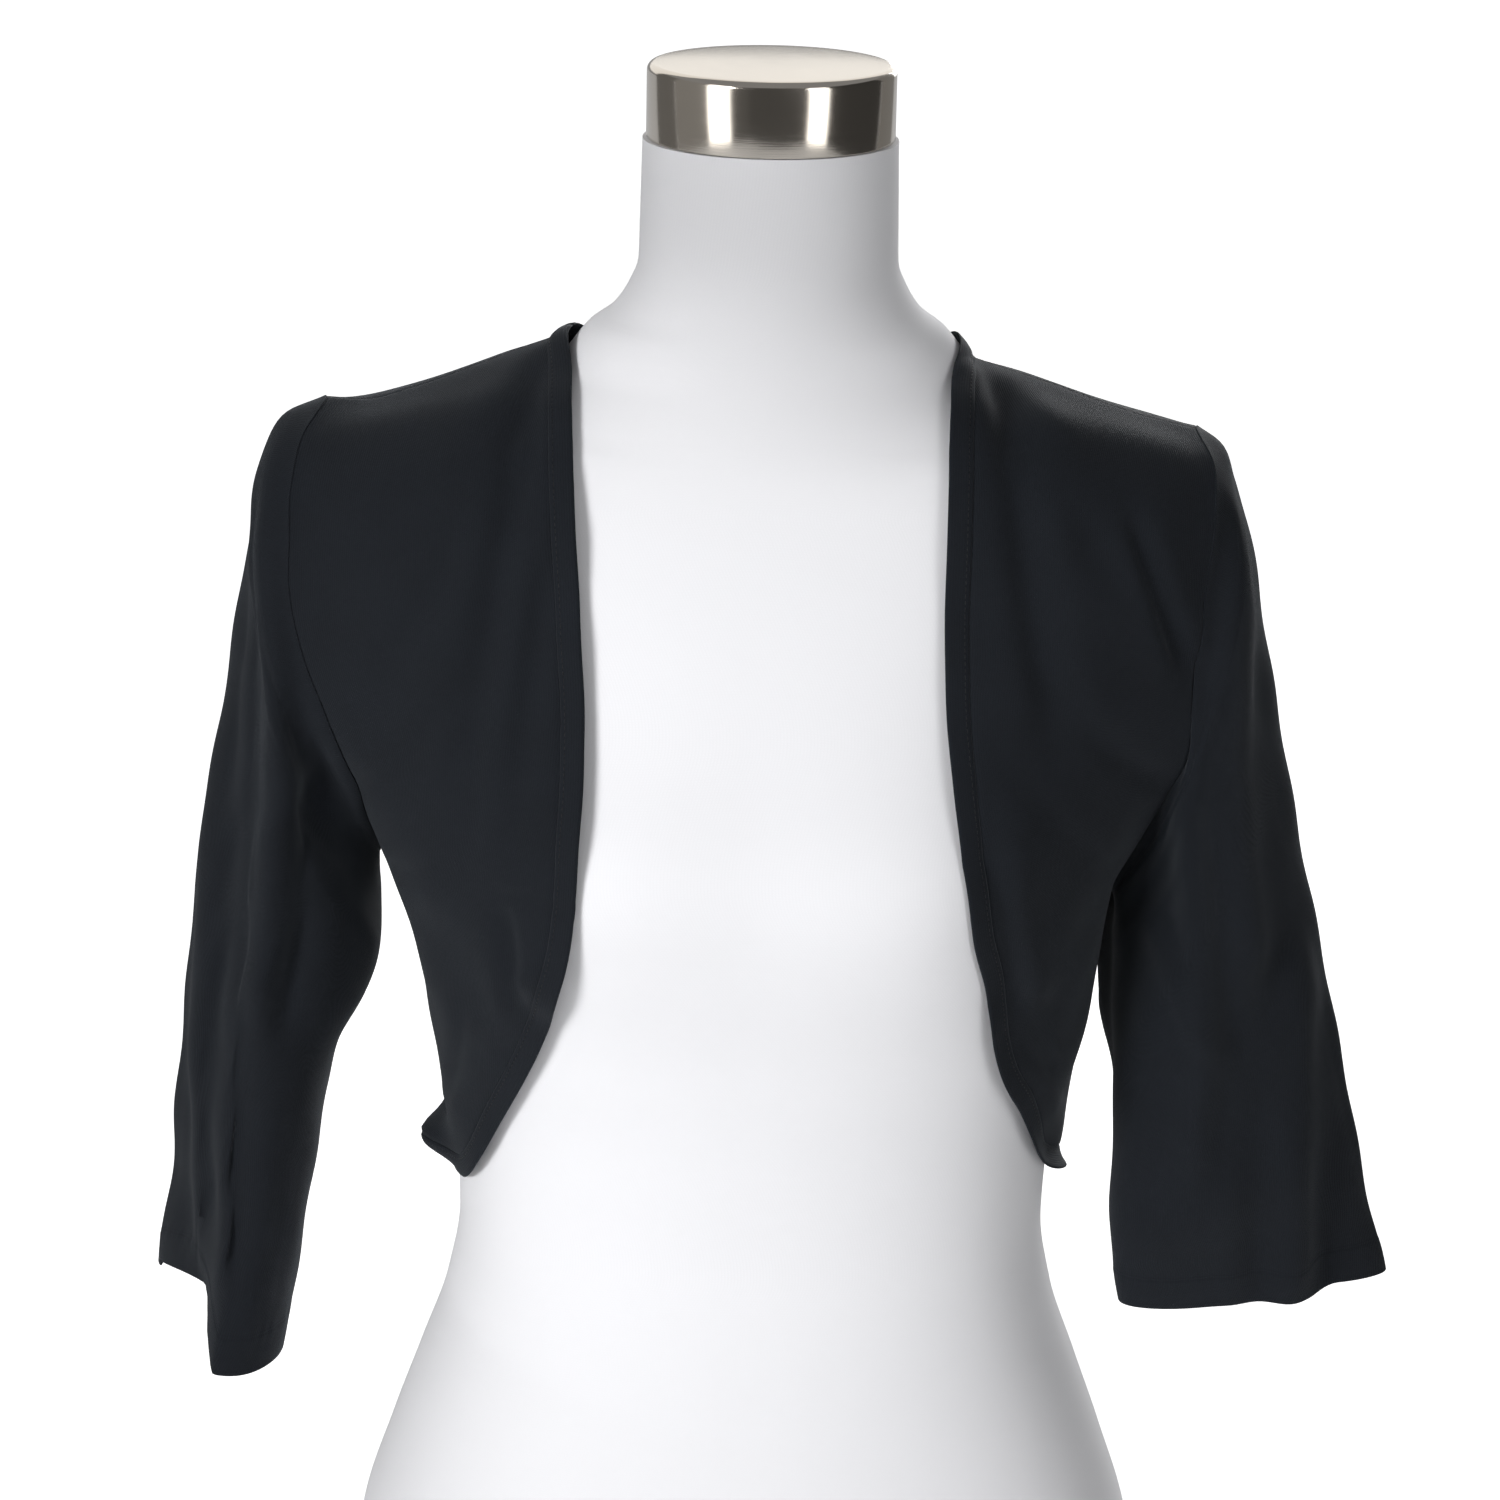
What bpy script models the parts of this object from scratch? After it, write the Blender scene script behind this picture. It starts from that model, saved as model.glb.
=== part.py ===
"""Knitted shrug, open at the front, worn by a limbless dress form.

Metres, +Z up. The front faces -Y and the wearer's left is +X.
The origin is on the form's axis, at its flat base.
Cloth is laid out as the middle surface of its wall, seam curves first, then the panels
between them, and is given its thickness at the end.
"""

from collections import namedtuple

import bpy
import numpy as np

MM = 0.001
NAME = "knitted_shrug_on_dress_form"
SIDES = {"left": 1.0, "right": -1.0}

# Cloth and seams
WALL = 1.5 * MM
BAND_WALL = 2.0 * MM
BAND_WIDTH = 10.5 * MM
SEAM_GAP = 0.36 * MM
SLEEVE_GAP = 0.39 * MM
LEAST_CLEARANCE = 1.9 * MM
BAND_EDGE_SHARE = 0.6
LARGEST_BAND_LEAN = 1.5
SLEEVE_FOLD_START = 0.12

# Mesh fineness, in steps along each seam
SIDE_STEPS = 10
ARMHOLE_STEPS = 14
SHOULDER_STEPS = 9
NECK_STEPS = 12
SLEEVE_STEPS = 19
BAND_STEPS = 3
FORM_POINTS = 40
FORM_STEP = 20 * MM

# Neck cap
CAP_RADIUS = 52.5 * MM
CAP_BASE = 723.5 * MM
CAP_TOP = 755.6 * MM
CAP_RIM = 3.4 * MM
CAP_CROWN = 0.8 * MM
CAP_SEGMENTS = 48

# The form's oval at each height: half width, depth to the front and back, squareness of its corners
Level = namedtuple("Level", "z half_width front back square")
FORM = (
    Level(0.0000, 0.1800, 0.1000, 0.1200, 2.3),
    Level(0.0300, 0.1840, 0.1040, 0.1270, 2.3),
    Level(0.0800, 0.1780, 0.1060, 0.1260, 2.3),
    Level(0.1240, 0.1645, 0.1030, 0.1160, 2.2),
    Level(0.1620, 0.1510, 0.0990, 0.1020, 2.2),
    Level(0.2000, 0.1380, 0.0920, 0.0900, 2.2),
    Level(0.2370, 0.1320, 0.0870, 0.0820, 2.2),
    Level(0.2850, 0.1345, 0.0920, 0.0840, 2.2),
    Level(0.3350, 0.1420, 0.1020, 0.0900, 2.3),
    Level(0.3850, 0.1480, 0.1110, 0.0980, 2.3),
    Level(0.4300, 0.1500, 0.1130, 0.1040, 2.4),
    Level(0.4800, 0.1500, 0.1050, 0.1070, 2.4),
    Level(0.5300, 0.1610, 0.0940, 0.1030, 2.4),
    Level(0.5700, 0.1800, 0.0830, 0.0890, 2.3),
    Level(0.5850, 0.1880, 0.0770, 0.0780, 2.2),
    Level(0.5930, 0.1835, 0.0735, 0.0700, 2.1),
    Level(0.5985, 0.1660, 0.0710, 0.0665, 2.1),
    Level(0.6055, 0.1415, 0.0680, 0.0650, 2.0),
    Level(0.6155, 0.1115, 0.0640, 0.0640, 2.0),
    Level(0.6258, 0.0850, 0.0595, 0.0630, 2.0),
    Level(0.6360, 0.0775, 0.0565, 0.0625, 2.0),
    Level(0.6430, 0.0740, 0.0550, 0.0630, 2.0),
    Level(0.6500, 0.0667, 0.0535, 0.0610, 2.0),
    Level(0.6600, 0.0597, 0.0525, 0.0590, 2.0),
    Level(0.6720, 0.0552, 0.0520, 0.0575, 2.0),
    Level(0.6920, 0.0547, 0.0525, 0.0560, 2.0),
    Level(0.7232, 0.0540, 0.0525, 0.0545, 2.0),
)
BUST_SWELL = 0.15
BUST_X = 68 * MM
BUST_Z = 425 * MM
BUST_WIDTH = 58 * MM
BUST_HEIGHT = 55 * MM

# How far the cloth stands off the form at each height, at its sides, front and back
Ease = namedtuple("Ease", "z side front back")
EASE = (
    Ease(0.245, 0.0035, 0.0035, 0.0050),
    Ease(0.300, 0.0040, 0.0055, 0.0080),
    Ease(0.350, 0.0045, 0.0060, 0.0080),
    Ease(0.400, 0.0060, 0.0035, 0.0050),
    Ease(0.450, 0.0100, 0.0028, 0.0030),
    Ease(0.500, 0.0160, 0.0030, 0.0027),
    Ease(0.550, 0.0110, 0.0032, 0.0030),
    Ease(0.600, 0.0040, 0.0040, 0.0050),
    Ease(0.620, 0.0034, 0.0034, 0.0052),
    Ease(0.640, 0.0030, 0.0030, 0.0040),
)

# Seam between each front and its edge band, from the neck down to the side seam.
# The roll turns the band outwards about that seam, in degrees.
EdgePoint = namedtuple("EdgePoint", "x z roll")
FRONT_EDGE = {
    "right": (
        EdgePoint(0.0906, 0.6150, 0),
        EdgePoint(0.0886, 0.5850, 0),
        EdgePoint(0.0853, 0.5400, 0),
        EdgePoint(0.0823, 0.4900, 0),
        EdgePoint(0.0832, 0.4450, 4),
        EdgePoint(0.0868, 0.4000, 8),
        EdgePoint(0.0985, 0.3550, 12),
        EdgePoint(0.1155, 0.3100, 20),
        EdgePoint(0.1285, 0.2770, 70),
    ),
    "left": (
        EdgePoint(0.0859, 0.6150, 0),
        EdgePoint(0.0860, 0.5850, 0),
        EdgePoint(0.0857, 0.5450, 0),
        EdgePoint(0.0873, 0.5000, 0),
        EdgePoint(0.0935, 0.4500, 4),
        EdgePoint(0.1003, 0.4100, 8),
        EdgePoint(0.1068, 0.3830, 14),
        EdgePoint(0.1085, 0.3600, 34),
        EdgePoint(0.1125, 0.3380, 34),
        EdgePoint(0.1212, 0.3180, 25),
        EdgePoint(0.1305, 0.2850, 45),
    ),
}
BACK_NECK_EDGE = (
    EdgePoint(0.0780, 0.6275, 0),
    EdgePoint(0.0500, 0.6235, 0),
    EdgePoint(0.0000, 0.6220, 0),
)
BACK_HEM_EDGE = (
    EdgePoint(0.1000, 0.2590, 25),
    EdgePoint(0.0000, 0.2570, 12),
)

# Corners and seams that hang free of the form
Point = namedtuple("Point", "x y z")
NECK_POINT = {
    "right": Point(0.0930, 0.005, 0.6325),
    "left": Point(0.0852, 0.005, 0.6282),
}
SIDE_HEM = {
    "right": Point(0.1452, 0.006, 0.2760),
    "left": Point(0.1380, 0.010, 0.2650),
}
SIDE_HEM_ROLL = {"right": 115, "left": 85}
NECK_ROLL = 0
SHOULDER_SEAM = {
    "right": (Point(0.1141, 0.006, 0.6250), Point(0.1529, 0.006, 0.6108), Point(0.1690, 0.006, 0.6062)),
    "left": (Point(0.1169, 0.005, 0.6202), Point(0.1504, 0.004, 0.6093)),
}
SIDE_SEAM = {
    "right": (Point(0.1535, 0.002, 0.3800), Point(0.1465, 0.004, 0.3440), Point(0.1400, 0.006, 0.3050)),
    "left": (Point(0.1525, 0.002, 0.3690), Point(0.1485, 0.004, 0.3380), Point(0.1430, 0.007, 0.3050)),
}

# Armhole seam: its top, then each height with its front and back depth, then the underarm
SHOULDER_POINT = {
    "right": Point(0.1890, 0.006, 0.6062),
    "left": Point(0.1857, 0.004, 0.6005),
}
UNDERARM = {
    "right": Point(0.1650, 0.000, 0.4070),
    "left": Point(0.1565, 0.000, 0.3940),
}
ArmLevel = namedtuple("ArmLevel", "x z front back")
ARMHOLE = {
    "right": (
        ArmLevel(0.1985, 0.5900, 0.030, 0.036),
        ArmLevel(0.2003, 0.5650, 0.050, 0.054),
        ArmLevel(0.1995, 0.5350, 0.058, 0.063),
        ArmLevel(0.1940, 0.5080, 0.059, 0.065),
        ArmLevel(0.1855, 0.4850, 0.056, 0.062),
        ArmLevel(0.1773, 0.4609, 0.048, 0.054),
        ArmLevel(0.1712, 0.4350, 0.034, 0.038),
    ),
    "left": (
        ArmLevel(0.1904, 0.5880, 0.034, 0.036),
        ArmLevel(0.1885, 0.5600, 0.052, 0.055),
        ArmLevel(0.1842, 0.5280, 0.058, 0.063),
        ArmLevel(0.1838, 0.4950, 0.057, 0.063),
        ArmLevel(0.1830, 0.4700, 0.051, 0.057),
        ArmLevel(0.1766, 0.4482, 0.041, 0.046),
        ArmLevel(0.1665, 0.4220, 0.026, 0.030),
    ),
}

# Sleeve rings, from the armhole to the hem: where each is outermost and innermost,
# its middle and half depth front to back, how far its front and back bow outwards,
# its twist (outer edge back, inner edge forward), and how far its outer front is tucked back,
# from which angle round the ring
Ring = namedtuple("Ring", "outer_x outer_z inner_x inner_z middle half_depth bow twist tuck tuck_at")
SLEEVE = {
    "right": (
        Ring(0.2075, 0.5985, 0.1680, 0.4020, 0.002, 0.0600, 0.0180, 0.000, 0.000, 40),
        Ring(0.2150, 0.5860, 0.1685, 0.3940, 0.001, 0.0600, 0.0150, 0.000, 0.000, 40),
        Ring(0.2205, 0.5560, 0.1678, 0.3800, 0.000, 0.0590, 0.0100, 0.000, 0.002, 40),
        Ring(0.2288, 0.5110, 0.1672, 0.3660, -0.001, 0.0570, 0.0050, 0.002, 0.005, 42),
        Ring(0.2368, 0.4649, 0.1690, 0.3540, -0.002, 0.0550, 0.0020, 0.004, 0.010, 46),
        Ring(0.2468, 0.4145, 0.1735, 0.3400, -0.003, 0.0530, 0.0000, 0.006, 0.015, 58),
        Ring(0.2533, 0.3667, 0.1850, 0.3200, -0.004, 0.0520, 0.0000, 0.009, 0.019, 68),
        Ring(0.2588, 0.3181, 0.1912, 0.2952, -0.004, 0.0510, 0.0000, 0.011, 0.023, 72),
        Ring(0.2642, 0.2687, 0.1978, 0.2570, -0.003, 0.0510, 0.0000, 0.014, 0.028, 78),
        Ring(0.2686, 0.2269, 0.2035, 0.2200, -0.002, 0.0520, 0.0000, 0.017, 0.034, 85),
        Ring(0.2778, 0.1760, 0.2125, 0.1715, -0.002, 0.0530, 0.0000, 0.020, 0.042, 94),
    ),
    "left": (
        Ring(0.1960, 0.5940, 0.1592, 0.3890, 0.002, 0.0600, 0.0130, 0.000, 0.000, 60),
        Ring(0.2018, 0.5800, 0.1600, 0.3810, 0.001, 0.0590, 0.0110, 0.000, 0.000, 60),
        Ring(0.2115, 0.5451, 0.1592, 0.3670, 0.000, 0.0570, 0.0070, 0.000, 0.000, 60),
        Ring(0.2215, 0.4990, 0.1588, 0.3480, -0.001, 0.0540, 0.0030, 0.001, 0.000, 60),
        Ring(0.2368, 0.4308, 0.1600, 0.3180, -0.002, 0.0500, 0.0000, 0.003, 0.000, 60),
        Ring(0.2480, 0.3838, 0.1610, 0.2880, -0.003, 0.0450, 0.0000, 0.005, 0.001, 60),
        Ring(0.2590, 0.3362, 0.1620, 0.2600, -0.003, 0.0400, 0.0000, 0.007, 0.002, 60),
        Ring(0.2702, 0.2878, 0.1630, 0.2350, -0.003, 0.0350, 0.0000, 0.009, 0.003, 60),
        Ring(0.2829, 0.2365, 0.1657, 0.2125, 0.000, 0.0260, 0.0000, 0.010, 0.004, 60),
        Ring(0.2931, 0.2010, 0.1700, 0.1945, 0.003, 0.0190, 0.0000, 0.010, 0.004, 60),
    ),
}
TUCK_STEP = 16
TUCK_BACK = (-70, 30)
TUCK_RISE = 0.55

# The largest folds, each along a line seen from the front or the back.
# A trough sinks between two soft ridges, a ridge stands up, and a step drops on its outer side.
Fold = namedtuple("Fold", "face kind x0 z0 x1 z1 bow width depth_start depth_end")
BODY_FOLDS = (
    Fold("front", "trough", -0.097, 0.632, -0.120, 0.480, 0.000, 0.0090, 0.0050, 0.0030),
    Fold("front", "trough", -0.091, 0.545, -0.101, 0.458, 0.000, 0.0070, 0.0025, 0.0020),
    Fold("front", "trough", -0.104, 0.402, -0.100, 0.376, 0.000, 0.0060, 0.0030, 0.0030),
    Fold("front", "ridge", -0.098, 0.381, -0.112, 0.353, 0.000, 0.0060, 0.0030, 0.0020),
    Fold("front", "trough", 0.100, 0.630, 0.120, 0.511, -0.001, 0.0100, 0.0060, 0.0040),
    Fold("front", "trough", 0.157, 0.567, 0.174, 0.524, 0.000, 0.0080, 0.0040, 0.0040),
    Fold("front", "trough", 0.097, 0.437, 0.109, 0.378, 0.000, 0.0070, 0.0040, 0.0060),
    Fold("back", "trough", -0.085, 0.600, -0.064, 0.420, 0.004, 0.0120, 0.0040, 0.0030),
    Fold("back", "trough", 0.092, 0.590, 0.074, 0.430, -0.003, 0.0110, 0.0050, 0.0030),
    Fold("back", "trough", -0.118, 0.480, -0.100, 0.310, 0.003, 0.0110, 0.0040, 0.0050),
    Fold("back", "trough", 0.126, 0.470, 0.098, 0.300, -0.004, 0.0120, 0.0050, 0.0040),
    Fold("back", "trough", -0.020, 0.400, -0.030, 0.290, 0.000, 0.0100, 0.0030, 0.0040),
    Fold("back", "trough", 0.038, 0.420, 0.030, 0.285, 0.000, 0.0110, 0.0030, 0.0050),
)
SLEEVE_FOLDS = {
    "right": (
        Fold("front", "step", -0.213, 0.575, -0.242, 0.165, -0.003, 0.0080, 0.0030, 0.0060),
        Fold("front", "trough", -0.205, 0.570, -0.207, 0.350, -0.003, 0.0085, 0.0050, 0.0050),
        Fold("front", "ridge", -0.195, 0.533, -0.186, 0.402, 0.000, 0.0065, 0.0040, 0.0060),
        Fold("front", "ridge", -0.186, 0.402, -0.170, 0.374, 0.000, 0.0065, 0.0060, 0.0060),
        Fold("back", "trough", -0.205, 0.560, -0.214, 0.360, 0.004, 0.0110, 0.0060, 0.0070),
        Fold("back", "trough", -0.236, 0.500, -0.244, 0.230, -0.004, 0.0110, 0.0050, 0.0080),
        Fold("back", "ridge", -0.190, 0.440, -0.205, 0.350, 0.000, 0.0080, 0.0040, 0.0040),
    ),
    "left": (
        Fold("front", "ridge", 0.195, 0.572, 0.176, 0.347, 0.017, 0.0070, 0.0040, 0.0050),
        Fold("front", "trough", 0.196, 0.500, 0.194, 0.455, 0.000, 0.0050, 0.0040, 0.0050),
        Fold("front", "step", 0.170, 0.452, 0.200, 0.450, 0.000, 0.0090, 0.0060, 0.0070),
        Fold("front", "trough", 0.176, 0.425, 0.167, 0.345, 0.000, 0.0110, 0.0120, 0.0050),
        Fold("front", "trough", 0.201, 0.368, 0.190, 0.240, 0.000, 0.0080, 0.0050, 0.0040),
        Fold("back", "trough", 0.200, 0.550, 0.216, 0.380, -0.004, 0.0110, 0.0060, 0.0060),
        Fold("back", "trough", 0.185, 0.440, 0.196, 0.290, 0.004, 0.0100, 0.0060, 0.0050),
        Fold("back", "trough", 0.240, 0.360, 0.246, 0.215, 0.000, 0.0110, 0.0040, 0.0060),
    ),
}

# How a trough sinks between its ridges, how a fold ends, and where it fades to the other face
TROUGH_SPREAD = 2.4
TROUGH_SINK = 1.7
FOLD_END_FADE = 2.2
FACING_START = 0.05
FACING_RANGE = 0.4

# Steps of the solvers and of the curves
SETTLE_STEPS = 8
FACE_STEPS = 40
RING_STEPS = 12
SPAN_STEPS = 24
GRADIENT_STEP = 0.1 * MM
WIDEST_DEPTH = 0.2


# Curves and tables

def unit(vectors):
    """Vectors along the last axis, at length one."""
    return vectors / np.maximum(np.linalg.norm(vectors, axis=-1, keepdims=True), 1e-12)


def smooth_step(value):
    """Zero to one with level ends."""
    t = np.clip(value, 0.0, 1.0)
    return t * t * (3.0 - 2.0 * t)


def table_curve(keys, values, at):
    """Smooth curve through a table's rows that adds no bulge between them."""
    widths = np.diff(keys)
    slopes = np.diff(values) / widths
    tangents = np.zeros(len(keys))
    product = slopes[:-1] * slopes[1:]
    total = np.where(product > 0, slopes[:-1] + slopes[1:], 1.0)
    tangents[1:-1] = np.where(product > 0, 2.0 * product / total, 0.0)
    tangents[0] = slopes[0]
    tangents[-1] = slopes[-1]
    row = np.clip(np.searchsorted(keys, at) - 1, 0, len(widths) - 1)
    t = np.clip((at - keys[row]) / widths[row], 0.0, 1.0)
    rise = values[row + 1] - values[row]
    bend_start = tangents[row] * widths[row] - rise
    bend_end = rise - tangents[row + 1] * widths[row]
    return values[row] + t * rise + t * (1 - t) * ((1 - t) * bend_start + t * bend_end)


def columns(table):
    """A table's columns as arrays."""
    return [np.array(column, dtype=float) for column in zip(*table)]


def spline(points, closed=False):
    """Dense smooth curve through points, with SPAN_STEPS steps between each two."""
    points = np.asarray(points, dtype=float)
    count = len(points)
    if closed:
        padded = np.concatenate([points[-1:], points, points[:2]])
        spans = count
    else:
        padded = np.concatenate([2 * points[:1] - points[1:2], points, 2 * points[-1:] - points[-2:-1]])
        spans = count - 1
    gaps = np.linalg.norm(np.diff(padded[:, :3], axis=0), axis=1)[:, None]
    slopes = np.diff(padded, axis=0) / gaps
    tangents = (slopes[:-1] * gaps[1:] + slopes[1:] * gaps[:-1]) / (gaps[:-1] + gaps[1:])
    t = np.linspace(0.0, 1.0, SPAN_STEPS, endpoint=False)[:, None]
    pieces = []
    for span in range(spans):
        start, end = padded[span + 1], padded[span + 2]
        first = tangents[span] * gaps[span + 1]
        last = tangents[span + 1] * gaps[span + 1]
        pieces.append(
            (2 * t**3 - 3 * t**2 + 1) * start + (t**3 - 2 * t**2 + t) * first
            + (3 * t**2 - 2 * t**3) * end + (t**3 - t**2) * last)
    pieces.append(padded[spans + 1][None])
    return np.concatenate(pieces)


def even(curve, steps):
    """A curve's points at equal distances, in steps steps."""
    run = np.concatenate([[0.0], np.cumsum(np.linalg.norm(np.diff(curve[:, :3], axis=0), axis=1))])
    places = np.linspace(0.0, run[-1], steps + 1)
    return np.stack([np.interp(places, run, column) for column in curve.T], axis=1)


# The form's surface and the cloth's height over it

FORM_TABLE = columns(FORM)
EASE_TABLE = columns(EASE)


def form_field(points):
    """Zero on the form and negative inside it."""
    x, y, z = points[..., 0], points[..., 1], points[..., 2]
    half_width, front, back, square = (table_curve(FORM_TABLE[0], column, z) for column in FORM_TABLE[1:])
    depth = np.where(y < 0, front, back)
    wide = np.abs(x) / half_width
    deep = np.abs(y) / depth
    radius = (wide**square + deep**square) ** (1.0 / square)
    swell = BUST_SWELL * np.exp(-((np.abs(x) - BUST_X) / BUST_WIDTH) ** 2 - ((z - BUST_Z) / BUST_HEIGHT) ** 2)
    return radius - 1.0 - swell * smooth_step(-y / depth)


def form_distance(points):
    """Distance from the form and the outward normal."""
    slope = np.stack([
        form_field(points + GRADIENT_STEP * axis) - form_field(points - GRADIENT_STEP * axis)
        for axis in np.eye(3)], axis=-1) / (2.0 * GRADIENT_STEP)
    size = np.linalg.norm(slope, axis=-1)
    return form_field(points) / size, slope / size[..., None]


def cloth_ease(points):
    """The cloth's height over the form."""
    x, y, z = points[..., 0], points[..., 1], points[..., 2]
    half_width, front_depth, back_depth = (table_curve(FORM_TABLE[0], FORM_TABLE[i], z) for i in (1, 2, 3))
    side, front, back = (table_curve(EASE_TABLE[0], column, z) for column in EASE_TABLE[1:])
    wide = (x / half_width) ** 2
    deep = (y / np.where(y < 0, front_depth, back_depth)) ** 2
    share = wide / (wide + deep + 1e-9)
    return side * share + np.where(y < 0, front, back) * (1.0 - share)


def settle(points):
    """Points moved onto the cloth's surface, with its normals there."""
    for _ in range(SETTLE_STEPS):
        distance, normal = form_distance(points)
        points = points + normal * (cloth_ease(points) - distance)[..., None]
    return points, form_distance(points)[1]


def face_points(x, z, sign):
    """Points of the cloth's front (sign -1) or back (sign 1) at x and z."""
    near = np.zeros_like(x)
    far = np.full_like(x, WIDEST_DEPTH)
    for _ in range(FACE_STEPS):
        middle = (near + far) / 2
        points = np.stack([x, sign * middle, z], axis=-1)
        inside = form_distance(points)[0] < cloth_ease(points)
        near = np.where(inside, middle, near)
        far = np.where(inside, far, middle)
    return np.stack([x, sign * near, z], axis=-1)


# Folds

def fold_profile(kind, across):
    """A fold's height across its line, where across is one at its width."""
    if kind == "trough":
        return np.exp(-(across / TROUGH_SPREAD) ** 2) - TROUGH_SINK * np.exp(-across**2)
    if kind == "ridge":
        return np.exp(-across**2)
    return -across * np.exp(0.5 - 0.5 * across**2)


def fold_height(points, normals, folds):
    """Height that the folds add at each point, along its normal."""
    height = np.zeros(points.shape[:-1])
    for fold in folds:
        start = np.array([fold.x0, fold.z0])
        line = np.array([fold.x1, fold.z1]) - start
        length = np.linalg.norm(line)
        along_axis = line / length
        outward = np.array([-along_axis[1], along_axis[0]])
        if outward[0] * (fold.x0 + fold.x1) < 0:
            outward = -outward
        if abs(along_axis[0]) > abs(along_axis[1]):
            outward = np.array([0.0, -1.0])
        offset = points[..., [0, 2]] - start
        along = offset @ along_axis / length
        inside = np.clip(along, 0.0, 1.0)
        across = offset @ outward - fold.bow * np.sign(fold.x0) * 4.0 * inside * (1.0 - inside)
        beyond = np.maximum(np.maximum(-along, along - 1.0), 0.0) * length
        fade = np.exp(-(beyond / (FOLD_END_FADE * fold.width)) ** 2)
        depth = fold.depth_start + (fold.depth_end - fold.depth_start) * inside
        facing = -normals[..., 1] if fold.face == "front" else normals[..., 1]
        seen = smooth_step((facing - FACING_START) / FACING_RANGE)
        height += depth * seen * fade * fold_profile(fold.kind, across / fold.width)
    return height


def fold_body(points, normals):
    """Body cloth with its folds, kept clear of the form."""
    moved = points + normals * fold_height(points, normals, BODY_FOLDS)[..., None]
    distance, outward = form_distance(moved)
    short = np.maximum(LEAST_CLEARANCE - distance, 0.0)
    return moved + outward * short[..., None]


# Seam curves

def mirrored(point, side):
    """A table's point on its own side of the body."""
    return [SIDES[side] * point.x, point.y, point.z]


def edge_rows(rows, side_sign, face):
    """Edge points on the cloth's front or back, with the band's roll as a fourth column."""
    x, z, roll = columns(rows)
    points = face_points(side_sign * x, z, face)
    return np.column_stack([points, roll])


def corner(point, side, roll):
    """A seam corner as a row with its roll."""
    return np.array([mirrored(point, side) + [roll]])


def edge_runs():
    """The band's seam as one closed curve, cut at the neck points and side hems.

    Its columns are the position, the band's roll and the seam's direction.
    """
    front = {side: edge_rows(FRONT_EDGE[side], sign, -1.0) for side, sign in SIDES.items()}
    neck = edge_rows(BACK_NECK_EDGE, 1.0, 1.0)
    hem = edge_rows(BACK_HEM_EDGE, 1.0, 1.0)
    flip = np.array([-1.0, 1.0, 1.0, 1.0])
    stretches = [
        corner(NECK_POINT["left"], "left", NECK_ROLL),
        front["left"],
        corner(SIDE_HEM["left"], "left", SIDE_HEM_ROLL["left"]),
        hem,
        hem[:1] * flip,
        corner(SIDE_HEM["right"], "right", SIDE_HEM_ROLL["right"]),
        front["right"][::-1],
        corner(NECK_POINT["right"], "right", NECK_ROLL),
        (neck * flip)[:2],
        neck[::-1],
    ]
    starts = np.cumsum([0] + [len(stretch) for stretch in stretches])
    curve = spline(np.concatenate(stretches), closed=True)
    loop = curve[:-1, :3]
    tangents = unit(np.roll(loop, -1, axis=0) - np.roll(loop, 1, axis=0))
    curve = np.column_stack([curve, np.concatenate([tangents, tangents[:1]])])

    def run(first, last):
        return curve[first * SPAN_STEPS:last * SPAN_STEPS + 1]

    left_hem, right_hem = starts[2], starts[5]
    left_turn, right_turn = left_hem - 1, right_hem + 1
    right_neck = starts[7]
    end = starts[-1]
    return {
        "front_left": run(0, left_turn),
        "turn_left": run(left_turn, left_hem),
        "hem": run(left_hem, right_hem)[::-1],
        "turn_right": run(right_hem, right_turn)[::-1],
        "front_right": run(right_turn, right_neck)[::-1],
        "neck": run(right_neck, end),
    }


def armhole_runs(side):
    """An armhole's front and back halves, each from the shoulder down to the underarm."""
    sign = SIDES[side]
    top = mirrored(SHOULDER_POINT[side], side)
    bottom = mirrored(UNDERARM[side], side)
    front = [[sign * row.x, -row.front, row.z] for row in ARMHOLE[side]]
    back = [[sign * row.x, row.back, row.z] for row in ARMHOLE[side]]
    curve = spline([top] + front + [bottom] + back[::-1], closed=True)
    middle = (len(front) + 1) * SPAN_STEPS
    return curve[:middle + 1], curve[middle:][::-1]


def seam_curves():
    """Every seam as evenly spaced points."""
    runs = edge_runs()
    seams = {
        "neck": even(runs["neck"], NECK_STEPS),
        "hem": even(runs["hem"], 2 * SHOULDER_STEPS + NECK_STEPS),
    }
    for side in SIDES:
        seams["edge_" + side] = even(runs["front_" + side], SIDE_STEPS + ARMHOLE_STEPS)
        seams["turn_" + side] = even(runs["turn_" + side], SHOULDER_STEPS)
        shoulder = [NECK_POINT[side], *SHOULDER_SEAM[side], SHOULDER_POINT[side]]
        seams["shoulder_" + side] = even(spline([mirrored(point, side) for point in shoulder]), SHOULDER_STEPS)
        flank = [UNDERARM[side], *SIDE_SEAM[side], SIDE_HEM[side]]
        seams["side_" + side] = even(spline([mirrored(point, side) for point in flank]), SIDE_STEPS)
        front, back = armhole_runs(side)
        seams["arm_front_" + side] = even(front, ARMHOLE_STEPS)
        seams["arm_back_" + side] = even(back, ARMHOLE_STEPS)
    return seams


# Panels

def patch(bottom, top, first, last):
    """Grid between four boundary curves, as a straight blend of them."""
    u = np.linspace(0.0, 1.0, len(bottom))[None, :, None]
    v = np.linspace(0.0, 1.0, len(first))[:, None, None]
    ruled = (1 - v) * bottom[None] + v * top[None]
    crossed = (1 - u) * first[:, None] + u * last[:, None]
    corners = ((1 - u) * (1 - v) * bottom[0] + u * (1 - v) * bottom[-1]
               + (1 - u) * v * top[0] + u * v * top[-1])
    return ruled + crossed - corners


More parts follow.
